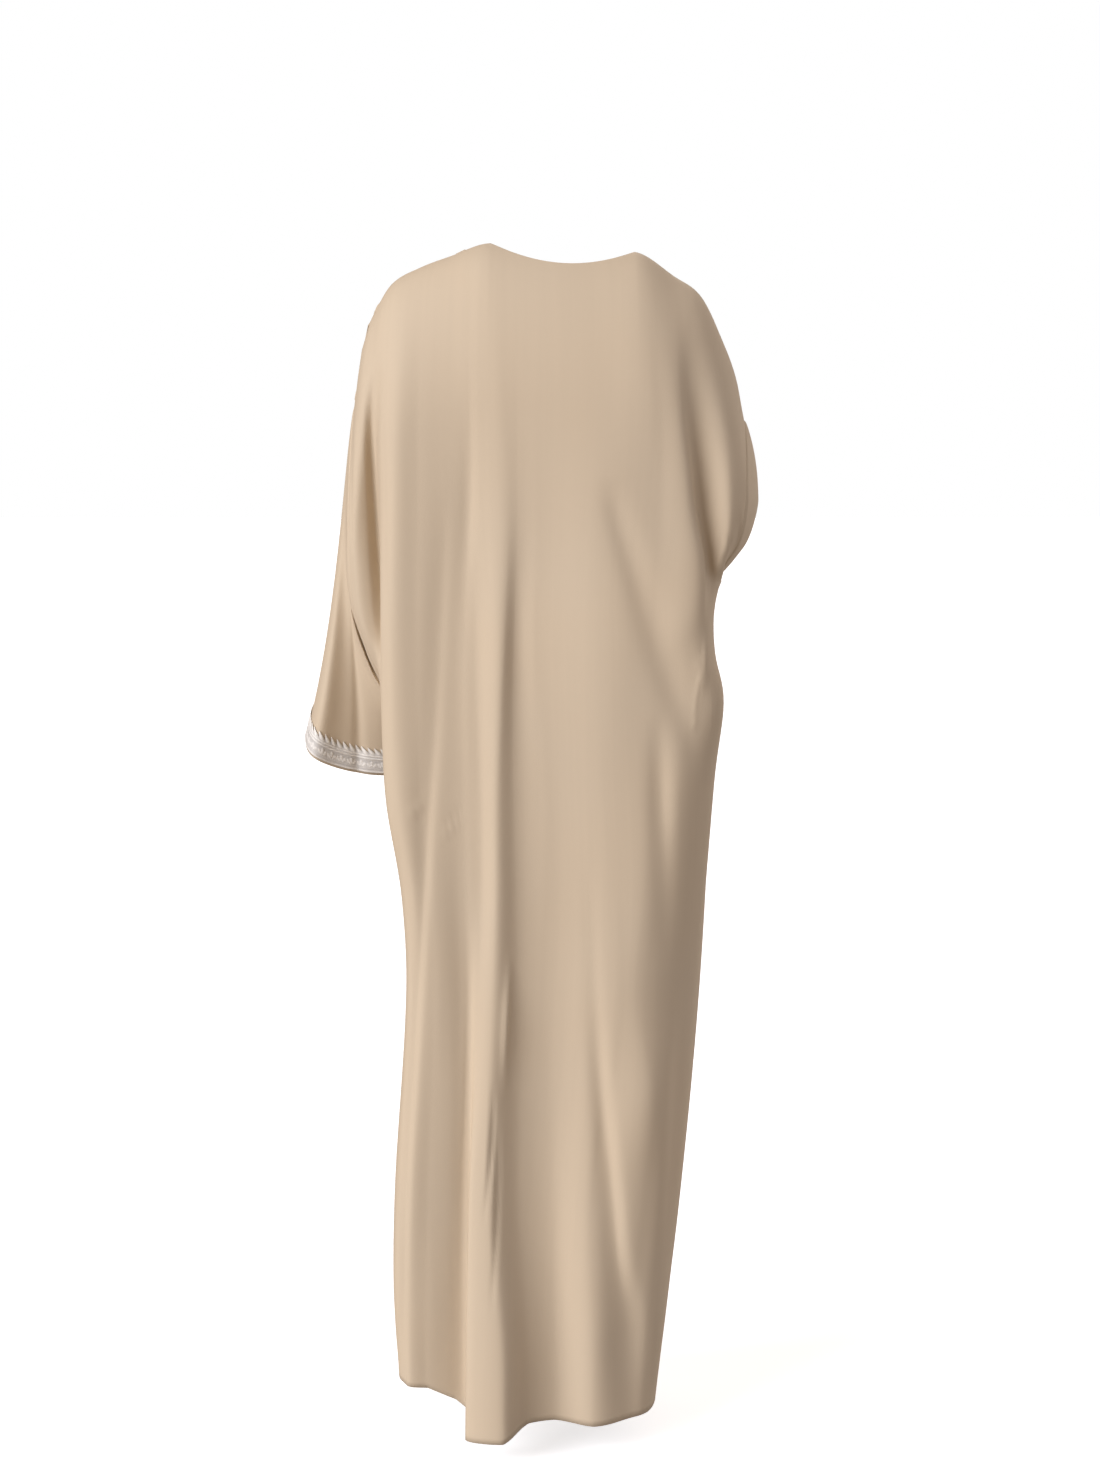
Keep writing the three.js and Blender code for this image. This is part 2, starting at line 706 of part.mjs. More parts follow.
/** One outward normal for every place, shared by the pieces that meet there. */
function sharedNormals(pieces) {
  const normals = new Map();
  for (const { grid, round } of pieces) {
    const cols = grid[0].length - (round ? 0 : 1);
    for (let row = 0; row < grid.length - 1; row++) {
      for (let col = 0; col < cols; col++) {
        const corners = [[0, 0], [0, 1], [1, 1], [1, 0]].map(([r, c]) => at(grid, row + r, col + c, round));
        const up = corners[3].clone().add(corners[2]).sub(corners[0]).sub(corners[1]);
        const over = corners[1].clone().add(corners[2]).sub(corners[0]).sub(corners[3]);
        const face = up.cross(over).normalize();
        for (const corner of corners) {
          const key = keyOf(corner);
          normals.set(key, (normals.get(key) ?? new THREE.Vector3()).add(face));
        }
      }
    }
  }
  for (const normal of normals.values()) normal.normalize();
  return (point) => normals.get(keyOf(point)).clone();
}

/** Draws the sewn borders of a grid back by half a seam gap. The hem and the cuff's edge stay. */
function drawnBack(grid, sewn) {
  const moved = grid.map((row) => row.map((point) => point.clone()));
  const [lastRow, lastCol] = [grid.length - 1, grid[0].length - 1];
  const [rowAt, colAt] = [lastRow, lastCol].map((last) => (k) => THREE.MathUtils.clamp(k, 0, last));
  // The move is square to the seam, which runs from point a to point b.
  const step = (r, c, next, a, b, ease = 0) => {
    const seam = b.clone().sub(a).normalize();
    const away = next.clone().sub(grid[r][c]);
    moved[r][c].add(away.addScaledVector(seam, -away.dot(seam)).setLength(SEAM_GAP / 2 + ease));
  };
  grid.forEach((row, r) => {
    const [low, high] = [grid[rowAt(r - 1)], grid[rowAt(r + 1)]];
    if (sewn.includes("first")) step(r, 0, row[1], low[0], high[0]);
    if (sewn.includes("last")) step(r, lastCol, row[lastCol - 1], low[lastCol], high[lastCol]);
  });
  grid[0].forEach((_, c) => {
    const [top, under, start] = [grid[lastRow], grid[lastRow - 1], grid[0]];
    if (sewn.includes("top")) step(lastRow, c, under[c], top[colAt(c - 1)], top[colAt(c + 1)]);
    if (sewn.includes("start")) {
      const ease = CORNER_EASE * Math.cos((Math.PI * c) / ARM_ROWS) ** 8;
      step(0, c, grid[1][c], at(grid, 0, c - 1, true), at(grid, 0, c + 1, true), ease);
    }
  });
  return moved;
}

/** A closed wall between two grids: outer sheet, inner sheet and a strip along every border. */
function wallGeometry(outer, inner, round) {
  const [rows, cols] = [outer.length, outer[0].length];
  const positions = [...outer.flat(), ...inner.flat()].flatMap((p) => p.toArray());
  const id = (sheet, row, col) => sheet * rows * cols + row * cols + (round ? col % cols : col);
  const faces = [];
  const quad = (a, b, c, d) => faces.push(a, b, c, a, c, d);
  const lastCol = round ? cols : cols - 1;
  for (let r = 0; r < rows - 1; r++) {
    for (let c = 0; c < lastCol; c++) {
      quad(id(0, r, c), id(0, r + 1, c), id(0, r + 1, c + 1), id(0, r, c + 1));
      quad(id(1, r, c), id(1, r, c + 1), id(1, r + 1, c + 1), id(1, r + 1, c));
    }
    if (!round) {
      quad(id(0, r, 0), id(1, r, 0), id(1, r + 1, 0), id(0, r + 1, 0));
      quad(id(0, r, cols - 1), id(0, r + 1, cols - 1), id(1, r + 1, cols - 1), id(1, r, cols - 1));
    }
  }
  for (let c = 0; c < lastCol; c++) {
    quad(id(0, 0, c), id(0, 0, c + 1), id(1, 0, c + 1), id(1, 0, c));
    quad(id(0, rows - 1, c), id(1, rows - 1, c), id(1, rows - 1, c + 1), id(0, rows - 1, c + 1));
  }
  const geometry = new THREE.BufferGeometry();
  geometry.setAttribute("position", new THREE.Float32BufferAttribute(positions, 3));
  geometry.setIndex(faces);
  return geometry;
}

/** The same grid moved along its normals, outwards where by is positive. */
const offset = (grid, normals, by) =>
  grid.map((row, r) => row.map((p, c) => p.clone().addScaledVector(normals[r][c], by)));

// ---- the garment ----
const back = backGrid();
const fronts = { left: frontGrid("left"), right: frontGrid("right") };
const pieces = {
  back: { grid: back, sewn: ["first", "last", "top"] },
  front_left: { grid: fronts.left, sewn: ["first", "top"] },
  front_right: { grid: fronts.right, sewn: ["last", "top"] },
};
for (const side of ["left", "right"]) {
  pieces[`sleeve_${side}`] = { grid: sleeveGrid(side, back, fronts[side]), sewn: ["start"], round: true };
}

const kaftan = new THREE.Group();

function addPiece(name, geometry, color, roughness) {
  const material = new THREE.MeshStandardMaterial({ color, roughness, metalness: 0 });
  const mesh = new THREE.Mesh(geometry, material);
  mesh.name = name;
  kaftan.add(mesh);
}

const normalAt = sharedNormals(Object.values(pieces));
for (const [name, { grid, sewn, round = false }] of Object.entries(pieces)) {
  const normals = grid.map((row) => row.map(normalAt));
  if (round) {
    const ownNormal = sharedNormals([pieces[name]]);
    const fits = (p, c) => normals[0][c].dot(ownNormal(p)) >= FOLDED;
    normals[0] = grid[0].map((p, c) => (fits(p, c) ? normals[0][c] : ownNormal(p)));
  }
  const outer = drawnBack(grid, sewn);
  addPiece(name, wallGeometry(outer, offset(outer, normals, -WALL), round), BEIGE, 0.85);

  if (round) {
    const [from, to] = [SLEEVE_ROWS - 1, SLEEVE_ROWS + 2];
    const [band, facing] = [grid.slice(from, to), normals.slice(from, to)];
    const under = offset(band, facing, SEAM_GAP);
    const face = offset(band, facing, SEAM_GAP + LACE_WALL);
    addPiece(name.replace("sleeve", "lace"), wallGeometry(face, under, true), LACE, 0.9);
  }
}

export default kaftan;
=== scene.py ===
# An open kaftan in plain beige crepe, as it hangs on a walking wearer: one wide back whose cloth also
# covers the upper arms, two fronts with plain edges, two sleeves at dropped armholes, lace at the cuffs.
# Metres, +Z up. The front faces -Y, the wearer's left is +X, and the origin lies between the shoulders.
import math

import bpy
import numpy as np
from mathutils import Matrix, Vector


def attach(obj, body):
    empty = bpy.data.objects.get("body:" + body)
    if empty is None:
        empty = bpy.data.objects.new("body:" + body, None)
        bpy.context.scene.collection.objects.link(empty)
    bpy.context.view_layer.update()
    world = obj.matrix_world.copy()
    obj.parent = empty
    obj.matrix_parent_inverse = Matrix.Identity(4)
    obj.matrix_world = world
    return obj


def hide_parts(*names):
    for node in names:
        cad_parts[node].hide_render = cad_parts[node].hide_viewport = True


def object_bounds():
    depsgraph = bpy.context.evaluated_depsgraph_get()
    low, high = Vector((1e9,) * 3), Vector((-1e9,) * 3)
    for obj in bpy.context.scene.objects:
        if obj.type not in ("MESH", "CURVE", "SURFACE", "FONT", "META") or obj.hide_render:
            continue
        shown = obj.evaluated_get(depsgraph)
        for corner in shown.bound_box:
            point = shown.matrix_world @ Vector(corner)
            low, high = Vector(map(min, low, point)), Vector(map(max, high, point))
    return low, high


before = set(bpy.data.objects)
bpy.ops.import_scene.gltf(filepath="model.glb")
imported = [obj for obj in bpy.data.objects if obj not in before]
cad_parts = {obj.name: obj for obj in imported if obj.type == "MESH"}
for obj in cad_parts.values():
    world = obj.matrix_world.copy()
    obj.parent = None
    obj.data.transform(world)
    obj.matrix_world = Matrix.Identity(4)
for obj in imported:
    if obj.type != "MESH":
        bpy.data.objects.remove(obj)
cad_box = [list(corner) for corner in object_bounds()]


# ---- Camera, studio light and floor ----
# The garment is seen from behind at chest height, a little from above, on a plain pale floor. One soft
# light falls from the wearer's left, behind the garment, and weak ones on its right side and its front.
LENS, TILT = 72.9, 6.3  # millimetres, and the degrees by which the camera looks down
CAMERA_PLACE = (0.0188, 3.5, -0.15)
FLOOR_BELOW = 0.028  # the hem swings this far above the floor
FLOOR_HALF = 30  # metres from the middle of the floor to its edges

camera_data = bpy.data.cameras.new("camera")
camera_data.lens = LENS
camera = bpy.data.objects.new("camera", camera_data)
camera.location = CAMERA_PLACE
camera.rotation_euler = (math.radians(90 - TILT), 0, math.pi)
bpy.context.scene.collection.objects.link(camera)
bpy.context.scene.camera = camera


def soft_sun(name, toward, spread, strength, hex_color):
    """A sun lamp whose light travels along a direction, as soft as a sky patch of a given spread."""
    light = bpy.data.lights.new(name, "SUN")
    light.angle = math.radians(spread)
    light.energy = strength
    light.color = linear(hex_color)[:3]
    lamp = bpy.data.objects.new(name, light)
    flat = math.hypot(toward[0], toward[1])
    lamp.rotation_euler = (math.atan2(flat, -toward[2]), 0, math.atan2(-toward[0], toward[1]))
    bpy.context.scene.collection.objects.link(lamp)


def linear(hex_color):
    """An sRGB hex colour as linear red, green, blue and alpha."""
    parts = np.array([int(hex_color[i : i + 2], 16) for i in (1, 3, 5)]) / 255
    curve = np.where(parts <= 0.04045, parts / 12.92, ((parts + 0.055) / 1.055) ** 2.4)
    return (*curve, 1.0)


def add_node(tree, kind, settings=None, links=None):
    """Adds a shader node, sets its properties and sockets by name, and links its inputs."""
    node = tree.nodes.new(kind)
    for key, value in (settings or {}).items():
        if key in node.inputs:
            node.inputs[key].default_value = value
        else:
            setattr(node, key, value)
    for key, socket in (links or {}).items():
        tree.links.new(socket, node.inputs[key])
    return node


def blank_material(name):
    """A new material, and its node tree with nothing in it."""
    material = bpy.data.materials.new(name)
    material.use_nodes = True
    material.node_tree.nodes.clear()
    return material, material.node_tree


def seen_or_lit(tree, lit, seen):
    """Mixes two shaders: rays from the camera meet the second, and all other rays the first."""
    rays = add_node(tree, "ShaderNodeLightPath")
    links = {0: rays.outputs["Is Camera Ray"], 1: lit.outputs[0], 2: seen.outputs[0]}
    return add_node(tree, "ShaderNodeMixShader", links=links)


soft_sun("key_light", (-0.72, -0.60, -0.34), 40, 3.65, "#f5f4f8")
soft_sun("side_light", (0.94, -0.34, -0.10), 80, 1.05, "#e6eeff")
soft_sun("front_light", (0.5, 0.8, -0.5), 60, 0.8, "#fff4e8")

world = bpy.data.worlds.new("studio")
world.use_nodes = True
sky = world.node_tree
sky.nodes.clear()
room = add_node(sky, "ShaderNodeBackground", {"Color": linear("#ffe9d6"), "Strength": 0.32})
wall = add_node(sky, "ShaderNodeBackground", {"Color": linear("#ffffff"), "Strength": 1.0})
add_node(sky, "ShaderNodeOutputWorld", links={"Surface": seen_or_lit(sky, room, wall).outputs[0]})
bpy.context.scene.world = world
bpy.context.scene.view_settings.view_transform = "Standard"

floor_z = cad_box[0][2] - FLOOR_BELOW
floor_mesh = bpy.data.meshes.new("floor")
floor_mesh.from_pydata(
    [(x * FLOOR_HALF, y * FLOOR_HALF, floor_z) for x, y in ((-1, -1), (1, -1), (1, 1), (-1, 1))],
    [],
    [(0, 1, 2, 3)],
)
floor = bpy.data.objects.new("floor", floor_mesh)
bpy.context.scene.collection.objects.link(floor)
floor_paint, floor_tree = blank_material("matte_white_floor")
dim = add_node(floor_tree, "ShaderNodeBsdfDiffuse", {"Color": linear("#a8a19a")})
paint = add_node(floor_tree, "ShaderNodeBsdfDiffuse", {"Color": linear("#f4f6fa")})
glow = add_node(floor_tree, "ShaderNodeEmission", {"Color": linear("#ffffff"), "Strength": 0.6})
pale = add_node(floor_tree, "ShaderNodeAddShader", links={0: paint.outputs[0], 1: glow.outputs[0]})
floor_surface = seen_or_lit(floor_tree, dim, pale)
add_node(floor_tree, "ShaderNodeOutputMaterial", links={"Surface": floor_surface.outputs[0]})
floor_mesh.materials.append(floor_paint)


# ---- Back ----
# One wide piece of crepe from armhole to armhole, cut on with the upper arms and sewn to the fronts along
# the shoulders and sides. It hangs from the shoulder blades: a deep fold falls from the left blade, and
# the walking leg drags the cloth to the right.
def table(columns, *rows):
    """A table of sizes with named columns, its rows in order of the first column."""
    values = np.array(sorted(rows), float)
    return dict(zip(columns.split(), values.T))


def curve_between(start, end, leave, arrive, t):
    """A cubic curve from start to end, as t goes from 0 to 1, that leaves and arrives at given slopes.

    start + (end - start) * (3t^2 - 2t^3) + leave * (t^3 - 2t^2 + t) + arrive * (t^3 - t^2)
    """
    smooth = t * t * (3 - 2 * t)
    return start + (end - start) * smooth + leave * (t**3 - 2 * t**2 + t) + arrive * (t**3 - t**2)


def along(rows, place, value):
    """A table's column at any places: cubic curves through the rows that hold the end values.

    The slope at a row is that of the straight line between its two neighbours.
    """
    p, v = next(iter(rows.values())), rows[value]
    last = len(p) - 1
    before = np.maximum(np.arange(last + 1) - 1, 0)
    after = np.minimum(np.arange(last + 1) + 1, last)
    slope = (v[after] - v[before]) / (p[after] - p[before])
    at = np.clip(place, p[0], p[-1])
    i = np.clip(np.searchsorted(p, at, "right") - 1, 0, last - 1)
    span = p[i + 1] - p[i]
    return curve_between(v[i], v[i + 1], span * slope[i], span * slope[i + 1], (at - p[i]) / span)


def mix(a, b, t):
    """The value at share t of the way from a to b."""
    return a + (b - a) * t


# Where the back meets the fronts and the sleeves: the lines of both side seams, the armholes, the neck
# points, and the shoulder seams from one armhole's top to the other's.
LEFT_SIDE = table(
    "z x y",
    (-1.330, 0.196, -0.070),
    (-1.292, 0.204, -0.067),
    (-1.227, 0.207, -0.062),
    (-0.980, 0.196, -0.042),
    (-0.809, 0.188, -0.024),
    (-0.712, 0.198, -0.010),
    (-0.600, 0.210, 0.000),
    (-0.478, 0.214, -0.004),
    (-0.438, 0.230, -0.010),
    (-0.368, 0.249, -0.014),
    (-0.283, 0.251, -0.014),
    (-0.224, 0.250, -0.012),
    (-0.150, 0.248, -0.008),
)
RIGHT_SIDE = table(
    "z x y",
    (-1.362, -0.098, -0.084),
    (-1.320, -0.111, -0.078),
    (-1.230, -0.127, -0.066),
    (-1.032, -0.147, -0.044),
    (-0.835, -0.162, -0.030),
    (-0.593, -0.174, -0.018),
    (-0.485, -0.180, -0.014),
    (-0.400, -0.168, -0.014),
    (-0.352, -0.174, -0.015),
    (-0.332, -0.184, -0.016),
    (-0.308, -0.198, -0.017),
    (-0.270, -0.206, -0.018),
    (-0.236, -0.207, -0.018),
    (-0.166, -0.209, -0.018),
)
# An armhole opens to the back and to the front of the side line between two heights.
ARMHOLE = {
    "left": {"low": -0.478, "high": -0.150, "back": 0.064, "front": 0.058},
    "right": {"low": -0.352, "high": -0.166, "back": 0.086, "front": 0.046},
}
# x of the neck points, and how far the back's neckline bows down between them.
NECK = {"left": 0.088, "right": -0.080, "dip": 0.020}
SHOULDER = table(
    "x y z",
    (-0.209, -0.018, -0.166),
    (-0.200, -0.016, -0.120),
    (-0.185, -0.013, -0.079),
    (-0.158, -0.009, -0.024),
    (-0.126, -0.005, 0.000),
    (NECK["right"], 0.000, 0.028),
    (NECK["left"], 0.000, 0.038),
    (0.135, -0.002, 0.023),
    (0.170, -0.003, 0.010),
    (0.202, -0.004, -0.008),
    (0.221, -0.005, -0.038),
    (0.237, -0.006, -0.079),
    (0.248, -0.008, -0.150),
)
SIDE_HEM = {"left": -1.300, "right": -1.340}  # height of the hem at the side seams
BACK_ROLL = 0.190  # height over which the cloth rolls over to the shoulder seam
ROLL_SQUARE = 2.4  # 2 would be a quarter of an ellipse
SEWN_SIDE, SEWN_TOP = 12, 6  # how close to the side and shoulder seams the folds die out
CREASE_FADE = 1.5  # power by which a crease dies out towards its ends
TOP_BEND = 8  # how late on the way up the columns bend over to their places on the shoulder seam
# Cloth swells beside an armhole seam, by the height of the puff, outside a narrow groove. "full" is how
# soon it is at its full height away from the armhole's ends.
SEAM = {"puff": 0.0016, "groove": 0.0025, "fade": 0.014, "full": 1.6}
LOW_ROWS, ARM_ROWS = 120, 100  # rows from the hem to the underarm, and from there to the top
CREPE_THICK = 0.0011


def armhole_reach(side, face, z):
    """How far an armhole's edge stands behind (face 1) or before (face -1) the side line: an oval."""
    hole = ARMHOLE[side]
    t = np.clip((z - hole["low"]) / (hole["high"] - hole["low"]), 0, 1)
    rise = np.sqrt(np.abs(np.sin(np.pi * t)))
    return rise * (hole["back"] if face > 0 else -hole["front"])


def ridge(x):
    """y and z of the line over the shoulders: along both shoulder seams and straight across the neck."""
    t = np.clip((x - NECK["right"]) / (NECK["left"] - NECK["right"]), 0, 1)
    ends = [along(SHOULDER, NECK[side], "z") for side in ("right", "left")]
    round_neck = (t > 0) & (t < 1)
    y = np.where(round_neck, 0, along(SHOULDER, x, "y"))
    return y, np.where(round_neck, mix(*ends, t), along(SHOULDER, x, "z"))


def top_line(face, x):
    """Height at which the cloth ends: on the shoulder seams, and at the back below the neck by a bow."""
    t = np.clip((2 * x - NECK["left"] - NECK["right"]) / (NECK["left"] - NECK["right"]), -1, 1)
    return ridge(x)[1] - (NECK["dip"] * (1 - t**2) if face > 0 else 0)


def fold_line(*rows):
    """The crest of a fold at heights z: its place, its width on both sides, its height and its lean."""
    return table("z x left right high lean", *rows)


def fold_heights(folds, x, z):
    """Height and sideways lean of all the folds at points of a panel.

    Each fold is a bell across its crest line, exp(-(distance / width) squared), with a width for
    the wearer's left side of the crest and one for the right.
    """
    high, lean = np.zeros_like(x), np.zeros_like(x)
    for rows in folds.values():
        away = x - along(rows, z, "x")
        width = np.where(away > 0, along(rows, z, "left"), along(rows, z, "right"))
        bell = np.exp(-((away / width) ** 2))
        high += bell * along(rows, z, "high")
        lean += bell * along(rows, z, "lean")
    return high, lean


def crease_heights(creases, x, z):
    """Height of short creases: each runs from one point to another along a shallow bow.

    It dies out at both ends, as the bell across it times a power of the sine of the place along it.
    """
    high = np.zeros_like(x)
    for x0, z0, x1, z1, bow, width, height in creases:
        run = np.array([x1 - x0, z1 - z0])
        length = np.hypot(*run)
        way = run / length
        t = ((x - x0) * way[0] + (z - z0) * way[1]) / length
        inside = np.clip(t, 0, 1)
        off = (x - x0) * -way[1] + (z - z0) * way[0] - bow * 4 * inside * (1 - inside)
        fade = np.where((t > 0) & (t < 1), np.sin(np.pi * inside) ** CREASE_FADE, 0)
        high += height * fade * np.exp(-((off / width) ** 2))
    return high


def folded(base, folds, creases, still, ripple=0):
    """Moves a grid of points out along its level outward direction by its folds, times a stillness."""
    across = np.gradient(base, axis=1)[..., :2]
    across /= np.maximum(np.linalg.norm(across, axis=-1, keepdims=True), 1e-12)
    x, z = base[..., 0], base[..., 2]
    high, lean = fold_heights(folds, x, z)
    high = high + crease_heights(creases, x, z) + ripple
    out = np.stack([-across[..., 1], across[..., 0], 0 * x], -1)
    return base + (still * high)[..., None] * out + np.stack([still * lean, 0 * x, 0 * x], -1)


def stillness(across, rise):
    """How freely cloth folds, from 0 on a seam to 1: (1 - across ** side) * (top * rise, at most 1)."""
    return (1 - across**SEWN_SIDE) * np.minimum(rise * SEWN_TOP, 1)


def rolled(x, z, y, height):
    """Lets depth y roll over to the line over the shoulders, and says how far it has risen to it.

    Depth times (1 - (1 - rise) ** square) ** (1 / square), where 1 - rise goes from 0 to 1 on the way up.
    """
    top_y, top_z = ridge(x)
    rise = np.clip((top_z - z) / height, 0, 1)
    return top_y + (y - top_y) * (1 - (1 - rise) ** ROLL_SQUARE) ** (1 / ROLL_SQUARE), rise


def seam_puff(points, distance, share, closed=False):
    """Lets cloth swell beside a seam: puff * (1 - exp(-(d / groove) ** 2)) * exp(-(d / fade) ** 2)."""
    groove, fade = np.exp(-((distance / SEAM["groove"]) ** 2)), np.exp(-((distance / SEAM["fade"]) ** 2))
    return points + (share * SEAM["puff"] * (1 - groove) * fade)[..., None] * grid_normals(points, closed)


def from_ends(points):
    """Distance of every point to the nearer end of its row, measured along the row."""
    steps = np.linalg.norm(np.diff(points, axis=1), axis=-1)
    run = np.concatenate([np.zeros((len(points), 1)), steps.cumsum(1)], 1)
    return np.minimum(run, run[:, -1:] - run)


def armhole_share(place):
    """How much a seam shows at places up the armhole, 0 to 1: all but at its ends, by a sine."""
    return np.minimum(SEAM["full"] * np.sin(np.pi * np.clip(place, 0, 1)), 1)


def across_body(x, z):
    """Place between the side lines: -1 at the wearer's right and 1 at the left."""
    right, left = along(RIGHT_SIDE, z, "x"), along(LEFT_SIDE, z, "x")
    return np.clip((2 * x - right - left) / (left - right), -1, 1)


def rows_of(x_top, hem, high):
    """Heights of all rows, for columns that end at the top at a height and at the hem at another.

    The rows are even up to the underarm, and above it they crowd towards both ends by a cosine.
    """
    across = np.clip((x_top - NECK["right"]) / (NECK["left"] - NECK["right"]), 0, 1)
    underarm = mix(ARMHOLE["right"]["low"], ARMHOLE["left"]["low"], across)
    low = np.linspace(0, 1, LOW_ROWS + 1)[:, None]
    arm = (1 - np.cos(np.pi * np.arange(1, ARM_ROWS + 1) / ARM_ROWS))[:, None] / 2
    return np.vstack([mix(hem, underarm, low), mix(underarm, high, arm)])


def grid_normals(points, closed=False):
    """Unit normals of a grid, from the directions to the neighbours along its rows and columns."""
    around = np.concatenate([points[:, -1:], points, points[:, :1]], 1) if closed else points
    over = np.gradient(around, axis=1)
    over = over[:, 1:-1] if closed else over
    up = np.gradient(points, axis=0)
    normal = np.cross(up, over)
    size = np.linalg.norm(normal, axis=-1, keepdims=True)
    return normal / np.maximum(size, 1e-12)


def cloth_object(name, points, closed=False, thick=CREPE_THICK):
    """Makes a grid of points into a smooth sheet of quads, with a thickness on its inner side.

    The map "cloth" gives metres of cloth along each row from its middle, and along each column from the
    first row. A closed sheet's last column joins its first.
    """
    rows, columns = points.shape[:2]
    index = np.arange(rows * columns).reshape(rows, columns)
    if closed:
        index = np.concatenate([index, index[:, :1]], axis=1)
    quads = np.stack([index[:-1, :-1], index[1:, :-1], index[1:, 1:], index[:-1, 1:]], -1).reshape(-1, 4)
    mesh = bpy.data.meshes.new(name)
    mesh.vertices.add(rows * columns)
    mesh.vertices.foreach_set("co", points.reshape(-1).astype(np.float32))
    mesh.loops.add(quads.size)
    mesh.loops.foreach_set("vertex_index", quads.reshape(-1).astype(np.int32))
    mesh.polygons.add(len(quads))
    mesh.polygons.foreach_set("loop_start", np.arange(0, quads.size, 4, dtype=np.int32))
    mesh.polygons.foreach_set("use_smooth", np.ones(len(quads), bool))
    mesh.update(calc_edges=True)
    around = np.concatenate([points, points[:, :1]], 1) if closed else points
    across = np.linalg.norm(np.diff(around, axis=1), axis=-1).cumsum(1)
    across = np.concatenate([np.zeros((rows, 1)), across], axis=1)
    across -= across.mean(1, keepdims=True)
    down = np.linalg.norm(np.diff(around, axis=0), axis=-1).cumsum(0)
    down = np.concatenate([np.zeros((1, down.shape[1])), down], axis=0)
    cloth = np.stack([across, down], -1)
    corners = [cloth[:-1, :-1], cloth[1:, :-1], cloth[1:, 1:], cloth[:-1, 1:]]
    uv = mesh.uv_layers.new(name="cloth")
    uv.data.foreach_set("uv", np.stack(corners, 2).reshape(-1).astype(np.float32))
    piece = bpy.data.objects.new(name, mesh)
    bpy.context.scene.collection.objects.link(piece)
    wall = piece.modifiers.new("thickness", "SOLIDIFY")
    wall.thickness = thick
    wall.offset = -1
    wall.use_even_offset = False
    return piece


def line_up(name, columns, hem, *rows):
    """Adds a line up the back, by its places at heights z: x, and how far behind the middle."""
    BACK_LINES[name] = (columns, hem, table("z x y", *rows))


# Lines up the back that its columns follow, from the right side seam to the left, each with the number of
# columns up to the next line and the height of the hem there. The cloth passes smoothly through them. The
# line at each neck point starts the shoulder seam, and the fronts have the same columns from there out.
BACK_LINES = {"right_seam": (12, SIDE_HEM["right"], RIGHT_SIDE)}
line_up(
    "right_arm",
    10,
    -1.350,
    (-1.362, -0.109, -0.034),
    (-1.254, -0.121, -0.020),
    (-1.073, -0.136, -0.002),
    (-0.836, -0.153, 0.012),
    (-0.601, -0.168, 0.052),
    (-0.500, -0.168, 0.088),
    (-0.430, -0.165, 0.087),
    (-0.360, -0.171, 0.066),
    (-0.330, -0.176, 0.076),
    (-0.300, -0.186, 0.081),
    (-0.236, -0.188, 0.083),
    (-0.166, -0.182, 0.080),
    (-0.079, -0.174, 0.072),
)
line_up(
    "right_groove",
    10,
    -1.356,
    (-1.362, -0.104, 0.006),
    (-1.254, -0.114, 0.014),
    (-1.073, -0.125, 0.022),
    (-0.836, -0.137, 0.038),
    (-0.601, -0.149, 0.078),
    (-0.460, -0.159, 0.097),
    (-0.400, -0.162, 0.090),
    (-0.360, -0.165, 0.074),
    (-0.328, -0.163, 0.072),
    (-0.270, -0.153, 0.076),
    (-0.224, -0.148, 0.079),
    (-0.166, -0.142, 0.082),
    (-0.100, -0.140, 0.085),
    (-0.015, -0.146, 0.084),
)
line_up(
    "right_edge",
    12,
    -1.358,
    (-1.362, -0.092, 0.030),
    (-1.254, -0.097, 0.035),
    (-1.073, -0.113, 0.044),
    (-0.954, -0.118, 0.054),
    (-0.836, -0.122, 0.056),
    (-0.601, -0.130, 0.091),
    (-0.460, -0.148, 0.100),
    (-0.395, -0.156, 0.098),
    (-0.328, -0.156, 0.097),
    (-0.270, -0.145, 0.099),
    (-0.224, -0.139, 0.100),
    (-0.166, -0.132, 0.099),
    (-0.010, -0.118, 0.092),
)
line_up(
    "right_corner",
    22,
    -1.359,
    (-1.362, -0.078, 0.042),
    (-1.254, -0.078, 0.045),
    (-1.073, -0.096, 0.056),
    (-0.954, -0.104, 0.068),
    (-0.836, -0.082, 0.079),
    (-0.718, -0.092, 0.088),
    (-0.601, -0.098, 0.097),
    (-0.428, -0.100, 0.111),
    (-0.279, -0.104, 0.107),
    (-0.143, -0.104, 0.106),
    (0.000, NECK["right"], 0.098),
)
line_up(
    "hip",
    22,
    -1.361,
    (-1.362, -0.034, 0.062),
    (-1.254, -0.034, 0.065),
    (-1.073, -0.030, 0.066),
    (-0.836, -0.066, 0.081),
    (-0.601, -0.050, 0.099),
    (-0.428, -0.052, 0.116),
    (-0.279, -0.040, 0.114),
    (-0.143, -0.040, 0.110),
    (0.000, -0.034, 0.100),
)
line_up(
    "spine",
    12,
    -1.357,
    (-1.362, 0.014, 0.048),
    (-1.254, 0.015, 0.052),
    (-1.073, 0.018, 0.055),
    (-0.836, 0.026, 0.070),
    (-0.601, 0.020, 0.090),
    (-0.428, 0.034, 0.102),
    (-0.279, 0.030, 0.107),
    (-0.143, 0.034, 0.108),
    (0.000, 0.032, 0.101),
)
line_up(
    "valley",
    14,
    -1.358,
    (-1.362, 0.044, 0.058),
    (-1.254, 0.045, 0.062),
    (-1.073, 0.054, 0.062),
    (-0.836, 0.054, 0.074),
    (-0.718, 0.057, 0.083),
    (-0.601, 0.060, 0.091),
    (-0.509, 0.061, 0.096),
    (-0.428, 0.060, 0.100),
    (-0.279, 0.055, 0.106),
    (-0.143, 0.056, 0.107),
    (0.000, 0.058, 0.100),
)
